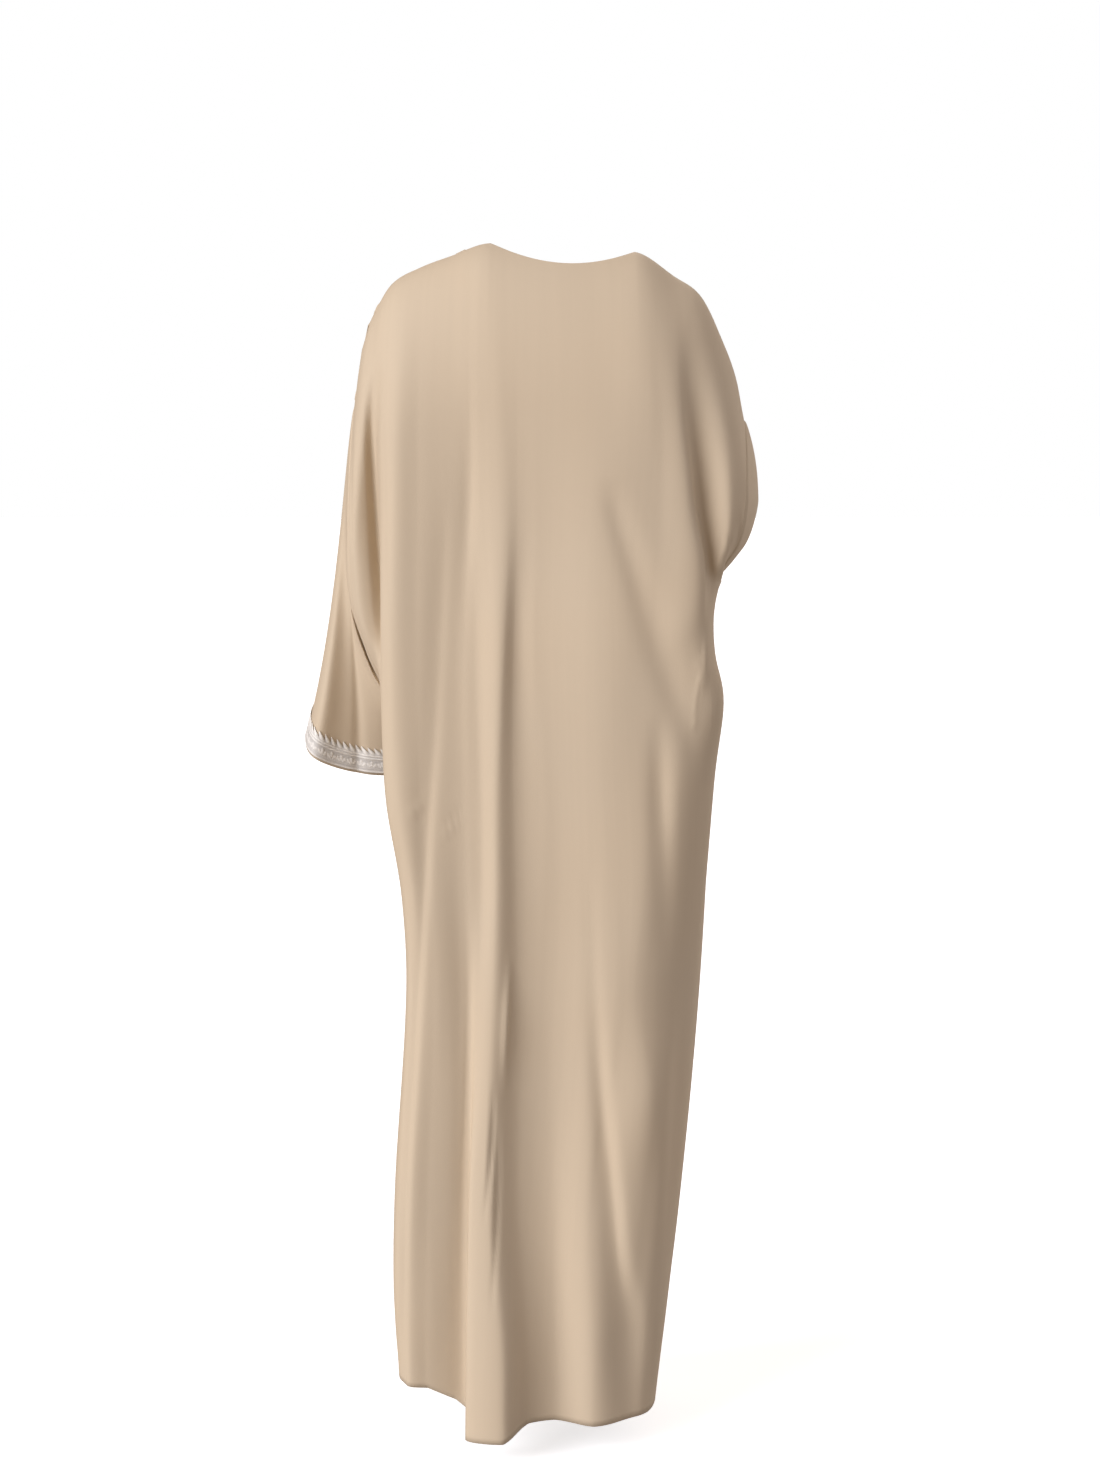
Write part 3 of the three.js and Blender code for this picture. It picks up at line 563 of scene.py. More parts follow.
line_up(
    "ridge_right",
    18,
    -1.372,
    (-1.362, 0.074, 0.093),
    (-1.254, 0.076, 0.092),
    (-1.073, 0.094, 0.086),
    (-0.954, 0.092, 0.087),
    (-0.836, 0.085, 0.089),
    (-0.718, 0.081, 0.095),
    (-0.601, 0.080, 0.101),
    (-0.509, 0.076, 0.105),
    (-0.428, 0.072, 0.108),
    (-0.279, 0.068, 0.108),
    (-0.143, 0.076, 0.107),
    (0.000, NECK["left"], 0.098),
)
line_up(
    "ridge_left",
    8,
    -1.372,
    (-1.362, 0.122, 0.072),
    (-1.254, 0.120, 0.073),
    (-1.073, 0.115, 0.074),
    (-0.954, 0.109, 0.077),
    (-0.836, 0.105, 0.080),
    (-0.718, 0.100, 0.0855),
    (-0.601, 0.100, 0.0925),
    (-0.428, 0.106, 0.097),
    (-0.279, 0.106, 0.099),
    (-0.143, 0.104, 0.103),
    (0.000, 0.104, 0.096),
)
line_up(
    "fold_under",
    8,
    -1.352,
    (-1.362, 0.110, 0.060),
    (-1.254, 0.110, 0.062),
    (-1.073, 0.112, 0.0665),
    (-0.954, 0.112, 0.072),
    (-0.836, 0.112, 0.0765),
    (-0.601, 0.113, 0.0915),
    (-0.428, 0.117, 0.0965),
    (-0.279, 0.114, 0.0975),
    (-0.143, 0.114, 0.102),
    (0.000, 0.114, 0.095),
)
line_up(
    "panel_foot",
    16,
    -1.330,
    (-1.362, 0.131, 0.055),
    (-1.254, 0.131, 0.058),
    (-1.073, 0.128, 0.067),
    (-0.954, 0.123, 0.073),
    (-0.836, 0.121, 0.077),
    (-0.601, 0.126, 0.0915),
    (-0.428, 0.128, 0.0955),
    (-0.279, 0.123, 0.097),
    (-0.143, 0.124, 0.100),
    (0.000, 0.124, 0.093),
)
line_up(
    "panel",
    14,
    -1.314,
    (-1.362, 0.164, 0.057),
    (-1.254, 0.164, 0.062),
    (-1.073, 0.161, 0.071),
    (-0.836, 0.152, 0.082),
    (-0.720, 0.156, 0.089),
    (-0.601, 0.166, 0.094),
    (-0.428, 0.170, 0.098),
    (-0.279, 0.168, 0.099),
    (-0.143, 0.166, 0.097),
    (0.000, 0.160, 0.086),
)
line_up(
    "panel_side",
    8,
    -1.312,
    (-1.362, 0.184, 0.056),
    (-1.300, 0.189, 0.060),
    (-1.200, 0.192, 0.064),
    (-1.073, 0.187, 0.072),
    (-0.836, 0.173, 0.080),
    (-0.720, 0.178, 0.087),
    (-0.601, 0.197, 0.093),
    (-0.428, 0.203, 0.097),
    (-0.279, 0.200, 0.098),
    (-0.143, 0.196, 0.095),
    (-0.004, 0.188, 0.080),
)
line_up(
    "panel_edge",
    10,
    -1.309,
    (-1.362, 0.190, 0.046),
    (-1.300, 0.197, 0.050),
    (-1.200, 0.201, 0.056),
    (-1.073, 0.197, 0.063),
    (-0.836, 0.183, 0.072),
    (-0.720, 0.187, 0.079),
    (-0.601, 0.206, 0.085),
    (-0.428, 0.212, 0.088),
    (-0.279, 0.210, 0.087),
    (-0.143, 0.209, 0.086),
    (-0.010, 0.202, 0.076),
)
line_up(
    "left_groove",
    10,
    -1.304,
    (-1.300, 0.201, 0.024),
    (-1.200, 0.206, 0.030),
    (-1.073, 0.203, 0.040),
    (-0.836, 0.188, 0.050),
    (-0.720, 0.193, 0.054),
    (-0.601, 0.211, 0.058),
    (-0.478, 0.214, 0.052),
    (-0.387, 0.214, 0.046),
    (-0.352, 0.216, 0.044),
    (-0.317, 0.219, 0.044),
    (-0.260, 0.223, 0.046),
    (-0.200, 0.225, 0.052),
    (-0.143, 0.223, 0.066),
    (-0.086, 0.218, 0.076),
    (-0.020, 0.212, 0.075),
)
line_up(
    "arm_inside",
    6,
    -1.302,
    (-1.300, 0.202, 0.002),
    (-1.200, 0.207, 0.010),
    (-1.073, 0.204, 0.020),
    (-0.836, 0.189, 0.032),
    (-0.720, 0.194, 0.037),
    (-0.601, 0.212, 0.042),
    (-0.478, 0.217, 0.040),
    (-0.428, 0.221, 0.047),
    (-0.387, 0.226, 0.052),
    (-0.317, 0.230, 0.055),
    (-0.260, 0.232, 0.056),
    (-0.200, 0.234, 0.060),
    (-0.143, 0.233, 0.068),
    (-0.060, 0.222, 0.070),
)
line_up(
    "left_arm",
    8,
    -1.300,
    (-1.300, 0.203, -0.020),
    (-1.200, 0.208, -0.012),
    (-1.073, 0.205, -0.002),
    (-0.836, 0.189, 0.010),
    (-0.720, 0.195, 0.016),
    (-0.601, 0.212, 0.022),
    (-0.478, 0.217, 0.020),
    (-0.428, 0.226, 0.044),
    (-0.387, 0.239, 0.051),
    (-0.317, 0.245, 0.056),
    (-0.260, 0.246, 0.058),
    (-0.200, 0.245, 0.060),
    (-0.143, 0.241, 0.063),
    (-0.060, 0.229, 0.066),
)
BACK_LINES["left_seam"] = (0, SIDE_HEM["left"], LEFT_SIDE)
NECK_LINE = {"right": "right_corner", "left": "ridge_right"}  # the lines that meet the neck points
BACK_FOLDS = {
    "wing_step": fold_line(
        (-0.240, 0.137, 0.014, 0.008, 0, 0),
        (-0.348, 0.143, 0.015, 0.008, -0.0015, 0),
        (-0.509, 0.152, 0.016, 0.008, -0.0022, 0),
        (-0.601, 0.159, 0.016, 0.007, -0.003, 0),
        (-0.718, 0.167, 0.014, 0.007, -0.004, 0),
        (-0.836, 0.176, 0.008, 0.007, -0.005, 0),
        (-0.954, 0.184, 0.008, 0.006, -0.005, 0),
        (-1.073, 0.191, 0.007, 0.006, -0.004, 0),
        (-1.362, 0.197, 0.006, 0.006, -0.003, 0),
    ),
    "blade_trough": fold_line(
        (-0.100, 0.113, 0.012, 0.008, -0.001, 0),
        (-0.240, 0.111, 0.012, 0.008, -0.0025, 0),
        (-0.348, 0.117, 0.012, 0.009, -0.002, 0),
        (-0.509, 0.122, 0.013, 0.009, -0.001, 0),
        (-0.718, 0.120, 0.014, 0.009, -0.001, 0),
        (-0.836, 0.116, 0.014, 0.008, -0.002, 0),
        (-1.073, 0.122, 0.012, 0.006, -0.003, 0),
        (-1.362, 0.124, 0.012, 0.006, -0.003, 0),
    ),
    "knee_pleat": fold_line(
        (-0.660, -0.026, 0.008, 0.007, 0, 0),
        (-0.836, -0.034, 0.010, 0.009, -0.002, 0),
        (-0.954, -0.041, 0.011, 0.010, -0.006, 0),
        (-1.073, -0.054, 0.018, 0.010, -0.008, 0),
        (-1.169, -0.064, 0.022, 0.011, -0.008, 0),
        (-1.254, -0.076, 0.026, 0.020, -0.007, 0),
        (-1.362, -0.084, 0.028, 0.027, -0.006, 0),
    ),
    "hip_drag": fold_line(
        (-0.230, -0.050, 0.014, 0.014, 0, 0),
        (-0.279, -0.060, 0.014, 0.016, -0.0035, 0),
        (-0.348, -0.082, 0.017, 0.020, -0.0045, 0),
        (-0.428, -0.108, 0.020, 0.022, -0.005, 0),
        (-0.509, -0.136, 0.018, 0.016, -0.0035, 0),
        (-0.580, -0.156, 0.012, 0.012, 0, 0),
    ),
    "hip_trough": fold_line(
        (-0.500, -0.106, 0.012, 0.010, 0, 0),
        (-0.601, -0.110, 0.014, 0.012, -0.005, 0),
        (-0.660, -0.113, 0.014, 0.013, -0.004, 0),
        (-0.718, -0.115, 0.014, 0.014, -0.0025, 0),
        (-0.800, -0.116, 0.014, 0.014, 0, 0),
    ),
}
BACK_CREASES = [
    # x and z of both ends, bow, width, height
    (0.192, -0.625, 0.158, -0.600, 0.002, 0.0030, 0.0016),
    (0.150, -0.648, 0.120, -0.618, 0.002, 0.0026, 0.0014),
    (0.146, -0.640, 0.118, -0.612, 0.002, 0.0024, -0.0012),
    (0.085, -0.930, 0.098, -1.110, -0.004, 0.0030, -0.0030),
    (0.080, -0.960, 0.090, -1.230, -0.004, 0.0030, -0.0026),
    (0.064, -0.780, 0.072, -0.960, 0.003, 0.0040, 0.0036),
    (-0.130, -0.436, -0.158, -0.420, 0.003, 0.0026, 0.0014),
    (-0.134, -0.452, -0.164, -0.432, 0.003, 0.0024, 0.0016),
    (-0.138, -0.468, -0.164, -0.450, 0.003, 0.0024, 0.0018),
    (-0.137, -0.484, -0.160, -0.466, 0.003, 0.0022, 0.0018),
    (-0.138, -0.500, -0.158, -0.484, 0.002, 0.0022, 0.0016),
    (-0.140, -0.516, -0.156, -0.502, 0.002, 0.0022, 0.0014),
    (-0.190, -0.322, -0.184, -0.292, 0.002, 0.0026, -0.0030),
]


def column_places():
    """For each column of the back: the line it starts from, and its share of the way to the next.

    Columns are even between two lines, but crowd by a cosine towards the seams at both ends.
    """
    places = []
    for line, (count, _, _) in enumerate(BACK_LINES.values()):
        even = np.arange(count) / max(count, 1)
        if line == 0:
            even = 1 - np.cos(np.pi / 2 * even)
        if line == len(BACK_LINES) - 2:
            even = np.sin(np.pi / 2 * even)
        places += [(line, t) for t in even]
    return places + [(len(BACK_LINES) - 2, 1)]


COLUMNS = column_places()


def line_places(z, value):
    """Places of every line at heights z, as an array with the lines first."""
    return np.stack([along(path, z, value) for _, _, path in BACK_LINES.values()], 0)


def back_form(z):
    """x and y of the back's form at heights z, given as an array with a column for each.

    At each height a cubic curve runs through the lines. Its direction at a line is that of the
    chords on both sides, each weighed by the length of the other.
    """
    x, y = line_places(z, "x"), line_places(z, "y")
    y[0] += armhole_reach("right", 1, z[:, :1])
    y[-1] += armhole_reach("left", 1, z[:, -1:])
    knots = np.stack([x, y], -1)
    chord = np.diff(knots, axis=0)
    size = np.linalg.norm(chord, axis=-1, keepdims=True)
    way = chord / size
    turn = (way[:-1] * size[1:] + way[1:] * size[:-1]) / (size[1:] + size[:-1])
    turn = np.concatenate([way[:1], turn, way[-1:]])
    picked = np.array([line for line, _ in COLUMNS])
    t = np.array([share for _, share in COLUMNS])[:, None]
    own = np.arange(len(COLUMNS))

    def pick(values):
        """Each column's own of the values given for every line."""
        return np.moveaxis(values[picked, :, own], 0, 1)

    ends = pick(knots[:-1]), pick(knots[1:])
    return curve_between(*ends, pick(turn[:-1] * size), pick(turn[1:] * size), t)


TOP_X = back_form(np.full((1, len(COLUMNS)), 1.0))[0, :, 0]


def to_top(x, x_high, x_top):
    """Bends columns over to their places on the top line: x + (x_top - x_high) * row share ** bend."""
    weight = (np.arange(LOW_ROWS + ARM_ROWS + 1) / (LOW_ROWS + ARM_ROWS))[:, None] ** TOP_BEND
    return x + (x_top - x_high) * weight


def back_grid():
    """The back's form along its lines, rolled over to the shoulders, folded, and puffed at the armholes."""
    high = top_line(1, TOP_X)
    places = np.array([line + t for line, t in COLUMNS])
    hem = np.interp(places, np.arange(len(BACK_LINES)), [hem for _, hem, _ in BACK_LINES.values()])
    z = rows_of(TOP_X, hem, high)
    form = back_form(z)
    x = to_top(form[..., 0], back_form(high[None, :])[0, :, 0], TOP_X)
    y, rise = rolled(x, z, form[..., 1], BACK_ROLL)
    still = stillness(across_body(x, z), rise)
    points = folded(np.stack([x, y, z], -1), BACK_FOLDS, BACK_CREASES, still)
    place = (np.arange(len(points)) - LOW_ROWS) / ARM_ROWS
    return seam_puff(points, from_ends(points), armhole_share(place)[:, None])


# Polyester crepe, twisted yarns woven plain and piece-dyed beige: a fine pebbled grain, faint slubs down
# the cloth and a soft dry sheen. Grain of about 0.5 mm is drawn at 1.6 mm, so that it shows at all.
GRAIN, SLUB_ACROSS, SLUB_DOWN, CLOUD = 0.0016, 0.009, 0.4, 0.22
BUMP_HIGH = 0.0004  # how high the grain of the cloths stands


def cloth_surface(tree, colour, shades, noise, strength, relief, look):
    """A cloth's colour times a shade that follows a noise, a bump from a relief, and the shader itself."""
    shade = add_node(
        tree,
        "ShaderNodeMapRange",
        {"From Min": 0.3, "From Max": 0.7, "To Min": shades[0], "To Max": shades[1]},
        {"Value": noise},
    )
    tint = add_node(
        tree, "ShaderNodeVectorMath", {"operation": "SCALE"}, {"Scale": shade.outputs[0], 0: colour}
    )
    bump = add_node(
        tree, "ShaderNodeBump", {"Strength": strength, "Distance": BUMP_HIGH}, {"Height": relief}
    )
    links = {"Base Color": tint.outputs[0], "Normal": bump.outputs[0]}
    shader = add_node(tree, "ShaderNodeBsdfPrincipled", look, links)
    add_node(tree, "ShaderNodeOutputMaterial", links={"Surface": shader.outputs[0]})


def crepe_material():
    """Beige in slow clouds of two close dyes, shaded by slubs down the cloth, with a pebbled bump."""
    cloth, tree = blank_material("woven_polyester_crepe")
    place = add_node(tree, "ShaderNodeUVMap", {"uv_map": "cloth"}).outputs["UV"]
    slub_size = {"Scale": (1 / SLUB_ACROSS, 1 / SLUB_DOWN, 1)}
    slub_map = add_node(tree, "ShaderNodeMapping", slub_size, {"Vector": place})
    slubs = add_node(
        tree, "ShaderNodeTexNoise", {"Scale": 1.0, "Detail": 3.0}, {"Vector": slub_map.outputs[0]}
    )
    clouds = add_node(tree, "ShaderNodeTexNoise", {"Scale": 1 / CLOUD, "Detail": 2.0}, {"Vector": place})
    dye = add_node(
        tree,
        "ShaderNodeMix",
        {"data_type": "RGBA", "A": linear("#c6b49b"), "B": linear("#c5b6a0")},
        {"Factor": clouds.outputs["Fac"]},
    )
    grain_look = {"Scale": 1 / GRAIN, "Detail": 2.0, "Roughness": 0.6}
    grain = add_node(tree, "ShaderNodeTexNoise", grain_look, {"Vector": place})
    look = {
        "Roughness": 0.72,
        "IOR": 1.46,
        "Specular IOR Level": 0.3,
        "Sheen Weight": 0.18,
        "Sheen Roughness": 0.45,
        "Sheen Tint": linear("#f3e3d2"),
    }
    cloth_surface(
        tree,
        colour=dye.outputs["Result"],
        shades=(0.99, 1.01),
        noise=slubs.outputs["Fac"],
        strength=0.25,
        relief=grain.outputs["Fac"],
        look=look,
    )
    return cloth


CREPE = crepe_material()

back_points = back_grid()
back = cloth_object("back_crepe", back_points)
back.data.materials.append(CREPE)
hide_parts("back")
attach(back, "root")


# ---- Fronts ----
# Two front pieces of the same crepe, cut straight and sewn to the back at the shoulder and side seams.
# Their plain edges hang side by side down the middle and part towards the hem as the wearer walks.

# How far the fronts stand before the middle, and how square they are there.
FRONT_DEPTH = table(
    "z y square",
    (-1.362, -0.205, 2.2),
    (-1.200, -0.190, 2.2),
    (-1.000, -0.172, 2.1),
    (-0.800, -0.152, 1.8),
    (-0.560, -0.132, 1.35),
    (-0.350, -0.124, 1.5),
    (-0.200, -0.122, 1.9),
    (-0.060, -0.100, 2.0),
    (0.040, -0.060, 2.0),
)
# Where the middle of the opening stands, and half its width.
OPENING = table(
    "z x half",
    (-1.362, 0.044, 0.046),
    (-1.000, 0.026, 0.022),
    (-0.600, 0.014, 0.008),
    (-0.170, 0.004, 0.005),
)
FRONT_HEM = -1.354
NECKLINE_LOW = -0.170  # where the front edges start to curve up to the neck points
NECKLINE_CURVE = 1.7  # how late the neckline bends in on its way up
FRONT_ROLL = 0.220  # as on the back, the height over which the cloth rolls over to the shoulder seam
EDGE_CROWD, HEM_BOW, REACH_FADE = 1.3, 0.6, 6  # powers of the share of the way from the side seam
FRONT_FOLDS = {
    "left_arm_hollow": fold_line(
        (-0.260, 0.200, 0.040, 0.040, 0, 0),
        (-0.440, 0.190, 0.046, 0.046, -0.034, 0),
        (-0.570, 0.176, 0.050, 0.050, -0.052, 0),
        (-0.780, 0.170, 0.040, 0.040, 0, 0),
    ),
    "right_arm_hollow": fold_line(
        (-0.150, -0.180, 0.038, 0.038, 0, 0),
        (-0.300, -0.168, 0.044, 0.044, -0.044, 0),
        (-0.420, -0.164, 0.040, 0.040, -0.024, 0),
        (-0.560, -0.160, 0.040, 0.040, 0, 0),
    ),
    "left_bust_fold": fold_line(
        (-0.240, 0.096, 0.022, 0.022, 0, 0),
        (-0.700, 0.104, 0.020, 0.020, 0.012, 0),
        (-1.362, 0.128, 0.024, 0.024, 0.034, 0.006),
    ),
    "left_side_trough": fold_line(
        (-0.640, 0.140, 0.018, 0.018, 0, 0),
        (-1.000, 0.150, 0.018, 0.018, -0.014, 0),
        (-1.362, 0.168, 0.020, 0.020, -0.026, 0),
    ),
    "right_bust_fold": fold_line(
        (-0.260, -0.084, 0.022, 0.022, 0, 0),
        (-0.760, -0.086, 0.020, 0.020, 0.013, 0),
        (-1.362, -0.052, 0.022, 0.022, 0.030, -0.006),
    ),
    "right_side_trough": fold_line(
        (-0.620, -0.120, 0.017, 0.017, 0, 0),
        (-1.000, -0.112, 0.017, 0.017, -0.012, 0),
        (-1.362, -0.080, 0.016, 0.016, -0.020, 0),
    ),
}
FRONT_CREASES = [
    # x and z of both ends, bow, width, height
    (0.196, -0.330, 0.120, -0.250, 0.004, 0.0060, 0.0030),
    (0.190, -0.370, 0.110, -0.330, 0.004, 0.0070, 0.0034),
    (0.172, -0.620, 0.100, -0.590, 0.003, 0.0040, 0.0024),
    (0.120, -0.880, 0.132, -1.080, -0.004, 0.0050, -0.0030),
    (-0.170, -0.300, -0.096, -0.236, 0.004, 0.0060, 0.0030),
    (-0.166, -0.340, -0.090, -0.310, 0.004, 0.0060, 0.0034),
    (-0.152, -0.520, -0.080, -0.490, 0.003, 0.0040, 0.0024),
    (-0.076, -0.900, -0.066, -1.100, 0.004, 0.0050, -0.0030),
]
RIPPLE = {"seed": 11, "high": 0.0004, "across": (0.021, 0.034, 0.055), "each": 4}
RIPPLE_RUN = {"longer": (5, 11), "drift": 0.25, "sway": 0.4, "sways": 2.3}


def ripples(x, z):
    """Faint unevenness of hanging cloth: a sum of waves, the product of a sine across and one down.

    They are much longer down the cloth than across it, and each drifts and sways sideways on its way.
    """
    draw = np.random.default_rng(RIPPLE["seed"])
    high = np.zeros_like(x)
    for wave_across in RIPPLE["across"]:
        size = RIPPLE["high"] * wave_across / RIPPLE["across"][-1]
        for _ in range(RIPPLE["each"]):
            wave_down = wave_across * draw.uniform(*RIPPLE_RUN["longer"])
            phase = draw.uniform(0, 2 * np.pi)
            drift = draw.uniform(-RIPPLE_RUN["drift"], RIPPLE_RUN["drift"])
            sway = RIPPLE_RUN["sway"] * np.sin(z / wave_down * RIPPLE_RUN["sways"] + phase)
            angle = 2 * np.pi * ((x + drift * z) / wave_across + sway)
            high += size * np.sin(angle + phase) * np.sin(z / wave_down + 2 * phase)
    return high


def front_edge(side, z):
    """x of the free front edge: beside the middle, then in to the neck point by a power curve."""
    sign = 1 if side == "left" else -1
    low = along(OPENING, z, "x") + sign * along(OPENING, z, "half")
    neck_z = along(SHOULDER, NECK[side], "z")
    t = np.clip((z - NECKLINE_LOW) / (neck_z - NECKLINE_LOW), 0, 1)
    return mix(low, NECK[side], t**NECKLINE_CURVE)


def front_grid(side):
    """Columns spread from the side seam to the front edge, sewn to the back's along the shoulder.

    The depth goes from the seam's to the middle's by (1 - across ** square) ** (1 / square).
    """
    neck_line = list(BACK_LINES).index(NECK_LINE[side])
    neck_column = next(k for k, (line, t) in enumerate(COLUMNS) if line == neck_line and t == 0)
    x_top = TOP_X[neck_column:][::-1] if side == "left" else TOP_X[: neck_column + 1]
    even = np.linspace(0, 1, len(x_top)) ** EDGE_CROWD
    high = top_line(-1, x_top)
    hem = mix(SIDE_HEM[side], FRONT_HEM, even**HEM_BOW)
    z = rows_of(np.full(len(x_top), NECK[side]), hem, high)

    def spread(heights):
        """x at each column's share of the way from the side seam to the front edge."""
        seam = LEFT_SIDE if side == "left" else RIGHT_SIDE
        return mix(along(seam, heights, "x"), front_edge(side, heights), even)

    x = to_top(spread(z), spread(high), x_top)
    across = across_body(x, z)
    edge = mix(along(RIGHT_SIDE, z, "y"), along(LEFT_SIDE, z, "y"), (across + 1) / 2)
    reach = armhole_reach(side, -1, z[:, :1]) * np.abs(across) ** REACH_FADE
    square = along(FRONT_DEPTH, z, "square")
    bulge = (1 - np.abs(across) ** square) ** (1 / square)
    oval = reach + edge + (along(FRONT_DEPTH, z, "y") - edge - reach) * bulge
    y, rise = rolled(x, z, oval, FRONT_ROLL)
    order = slice(None) if side == "left" else slice(None, None, -1)
    points = np.stack([x, y, z], -1)[:, order]
    ripple = ripples(points[..., 0], points[..., 2])
    return folded(points, FRONT_FOLDS, FRONT_CREASES, stillness(across, rise)[:, order], ripple)


front_points = {side: front_grid(side) for side in ("left", "right")}
for side, points in front_points.items():
    front = cloth_object(f"front_{side}_crepe", points)
    front.data.materials.append(CREPE)
    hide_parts(f"front_{side}")
    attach(front, "root")


# ---- Sleeves ----
# A straight tube of the same crepe, sewn on at each dropped armhole. The left one hangs round the lowered
# arm and swings a little forward; the right one lies over the raised forearm in front of the body.
ARM_TURNS = 72  # steps up the rear of an armhole, and down its front
SLEEVE_ROWS = 110
SLEEVE_CROWD = 1.3  # power by which the rows crowd towards the armhole
# Two hoops of each sleeve: centre, half of its breadth outward and half towards the back. A dent is the
# angle of its middle, its width in radians and its depth, and below 0 it bulges.
SLEEVES = {
    "left": {
        "middle": ((0.236, -0.044, -0.450), (0.032, 0, 0.062), (0, 0.058, -0.004)),
        "cuff": ((0.243, -0.090, -0.560), (0.072, 0, 0.010), (-0.004, 0.068, -0.030)),
        "dents": [(1.40, 0.55, 0.020), (2.10, 0.60, 0.020), (0.45, 0.42, -0.026), (1.42, 0.11, 0.003)],
    },
    "right": {
        "middle": ((-0.210, -0.138, -0.264), (-0.012, 0, 0.068), (-0.038, 0.030, 0)),
        "cuff": ((-0.132, -0.256, -0.286), (-0.008, -0.008, 0.070), (-0.056, 0.026, 0)),
        "dents": [(1.40, 0.55, 0.006)],
    },
}
# How the cloth leaves the armhole seam: its direction, how far that carries at the rear and at the ends,
# and by what share the cloth leads on towards the middle hoop.
LEAVE = {"out": 0.9, "forward": 0.8, "down": 0.5, "turn": 0.2}
REACH = {"rear": 0.028, "ends": 0.010, "lead": 0.12}
# The seam allowance tucks the sleeve in below the low end of the armhole's rear.
TUCK = {"angle": 2.3, "turn": 0.5, "t": 0.20, "run": 0.10, "deep": {"left": 0.030, "right": 0.0}}


def hoop(side, ring, angle):
    """Points of a hoop: centre + out * cos(angle) + back * sin(angle), then dented or bulged at the rear."""
    dents = SLEEVES[side]["dents"]
    deep = sum(depth * np.exp(-(((angle - place) / width) ** 2)) for place, width, depth in dents)
    centre, out, back = np.array(SLEEVES[side][ring])
    oval = centre + np.cos(angle)[..., None] * out + np.sin(angle)[..., None] * back
    return oval - deep[..., None] * np.array([0, 1, 0])


def armhole_seam(side, angle):
    """Points of the armhole seam: half a turn is the underarm, 0 the top, above 0 the rear half."""
    k = 0 if side == "right" else -1
    rear = back_points[LOW_ROWS:, k]
    fore = front_points[side][LOW_ROWS:, -1 - k]
    place = np.clip((1 - np.abs(angle) / np.pi) * ARM_ROWS, 0, ARM_ROWS)
    low = np.minimum(np.floor(place).astype(int), ARM_ROWS - 1)
    share = (place - low)[..., None]
    behind = (angle >= 0)[..., None]
    return np.where(behind, mix(rear[low], rear[low + 1], share), mix(fore[low], fore[low + 1], share))


def sleeve_point(side, angle, t):
    """Points of a sleeve at turns round the arm and shares t of the way down it.

    Each line down the sleeve is a cubic curve that leaves the seam, leans towards the middle hoop
    and ends on the cuff's. The tuck draws it forward by a bell round the arm and down it.
    """
    middle, cuff = hoop(side, "middle", angle), hoop(side, "cuff", angle)
    seam = armhole_seam(side, angle)
    behind, end = np.sin(angle), np.abs(np.cos(angle))
    leave = np.stack(
        [
            (1 if side == "left" else -1) * (LEAVE["out"] - LEAVE["turn"] * behind),
            -LEAVE["forward"] * np.where(behind > 0, behind, -behind / 2),
            -LEAVE["down"] * end,
        ],
        -1,
    )
    leave *= (mix(REACH["rear"], REACH["ends"], end) / np.linalg.norm(leave, axis=-1))[..., None]
    first = mix(seam, middle, REACH["lead"]) + leave
    away = ((angle - TUCK["angle"]) / TUCK["turn"]) ** 2 + ((t - TUCK["t"]) / TUCK["run"]) ** 2
    tuck = TUCK["deep"][side] * np.exp(-away)
    seam = seam - tuck[..., None] * np.array([0, 1, 0])
    t = t[..., None]
    return seam * (1 - t) ** 3 + first * 3 * t * (1 - t) ** 2 + middle * 3 * t**2 * (1 - t) + cuff * t**3


def round_the_arm(side, columns):
    """Angles of columns once round the arm from the underarm, as the faces need them to look outwards."""
    turn = np.pi * (1 - 2 * np.arange(columns) / columns)
    return turn if side == "right" else -turn


for side in ("left", "right"):
    down = np.linspace(0, 1, SLEEVE_ROWS + 1) ** SLEEVE_CROWD
    angle, t = np.meshgrid(round_the_arm(side, 2 * ARM_TURNS), down)
    points = sleeve_point(side, angle, t)
    from_seam = np.linalg.norm(points - points[:1], axis=-1)
    share = armhole_share(1 - np.abs(angle) / np.pi)
    sleeve = cloth_object(f"sleeve_{side}_crepe", seam_puff(points, from_seam, share, True), closed=True)
    sleeve.data.materials.append(CREPE)
    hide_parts(f"sleeve_{side}")
    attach(sleeve, "root")


# ---- Lace at the cuffs ----
# A galloon of white-grey viscose thread on a fine net, sewn flat on each cuff just above its edge: a row
# of slanting leaf points along the top, a pair of cords, and a band of small fans over a plain lower edge.
LACE_INSET, LACE_BAND = 0.003, 0.036  # its lower edge and its top, above the cuff's edge
LACE_THICK, LACE_LIFT, THREAD_HIGH = 0.0006, 0.0010, 0.0007  # the net, its lift off the sleeve, the thread
LACE_ROWS, STEPS_PER_LEAF, RIM_STEPS = 44, 20, 720
# Two cords and two lines below the fans: height above the cuff's edge, half width, and how raised.
THREAD_LINES = ((0.0212, 0.0009, 1), (0.0250, 0.0010, 1), (0.0042, 0.0010, 0.8), (0.0085, 0.0008, 0.25))
# Leaves lean over from their foot. "point" and "curl" are the powers of their outline and their lean.
LEAF = {"pitch": 0.0090, "high": 0.0075, "slant": 0.0065, "foot": 0.0262, "point": 1.3, "curl": 1.2}
LEAF_THREAD = {"edge": 0.0012, "mean": 0.55, "wave": 0.45}
FAN = {"pitch": 0.0135, "foot": 0.0095, "radius": 0.00817, "petals": 7, "mean": 0.94, "wave": 0.08}
FAN_THREAD = {"edge": 0.0009, "mean": 0.5, "wave": 0.2}
FAN_RING = {"radius": 0.0030, "width": 0.0008, "raised": 0.3}
THREAD = 0.0012  # stitches of embroidery thread, drawn coarser than their 0.4 mm so that they show


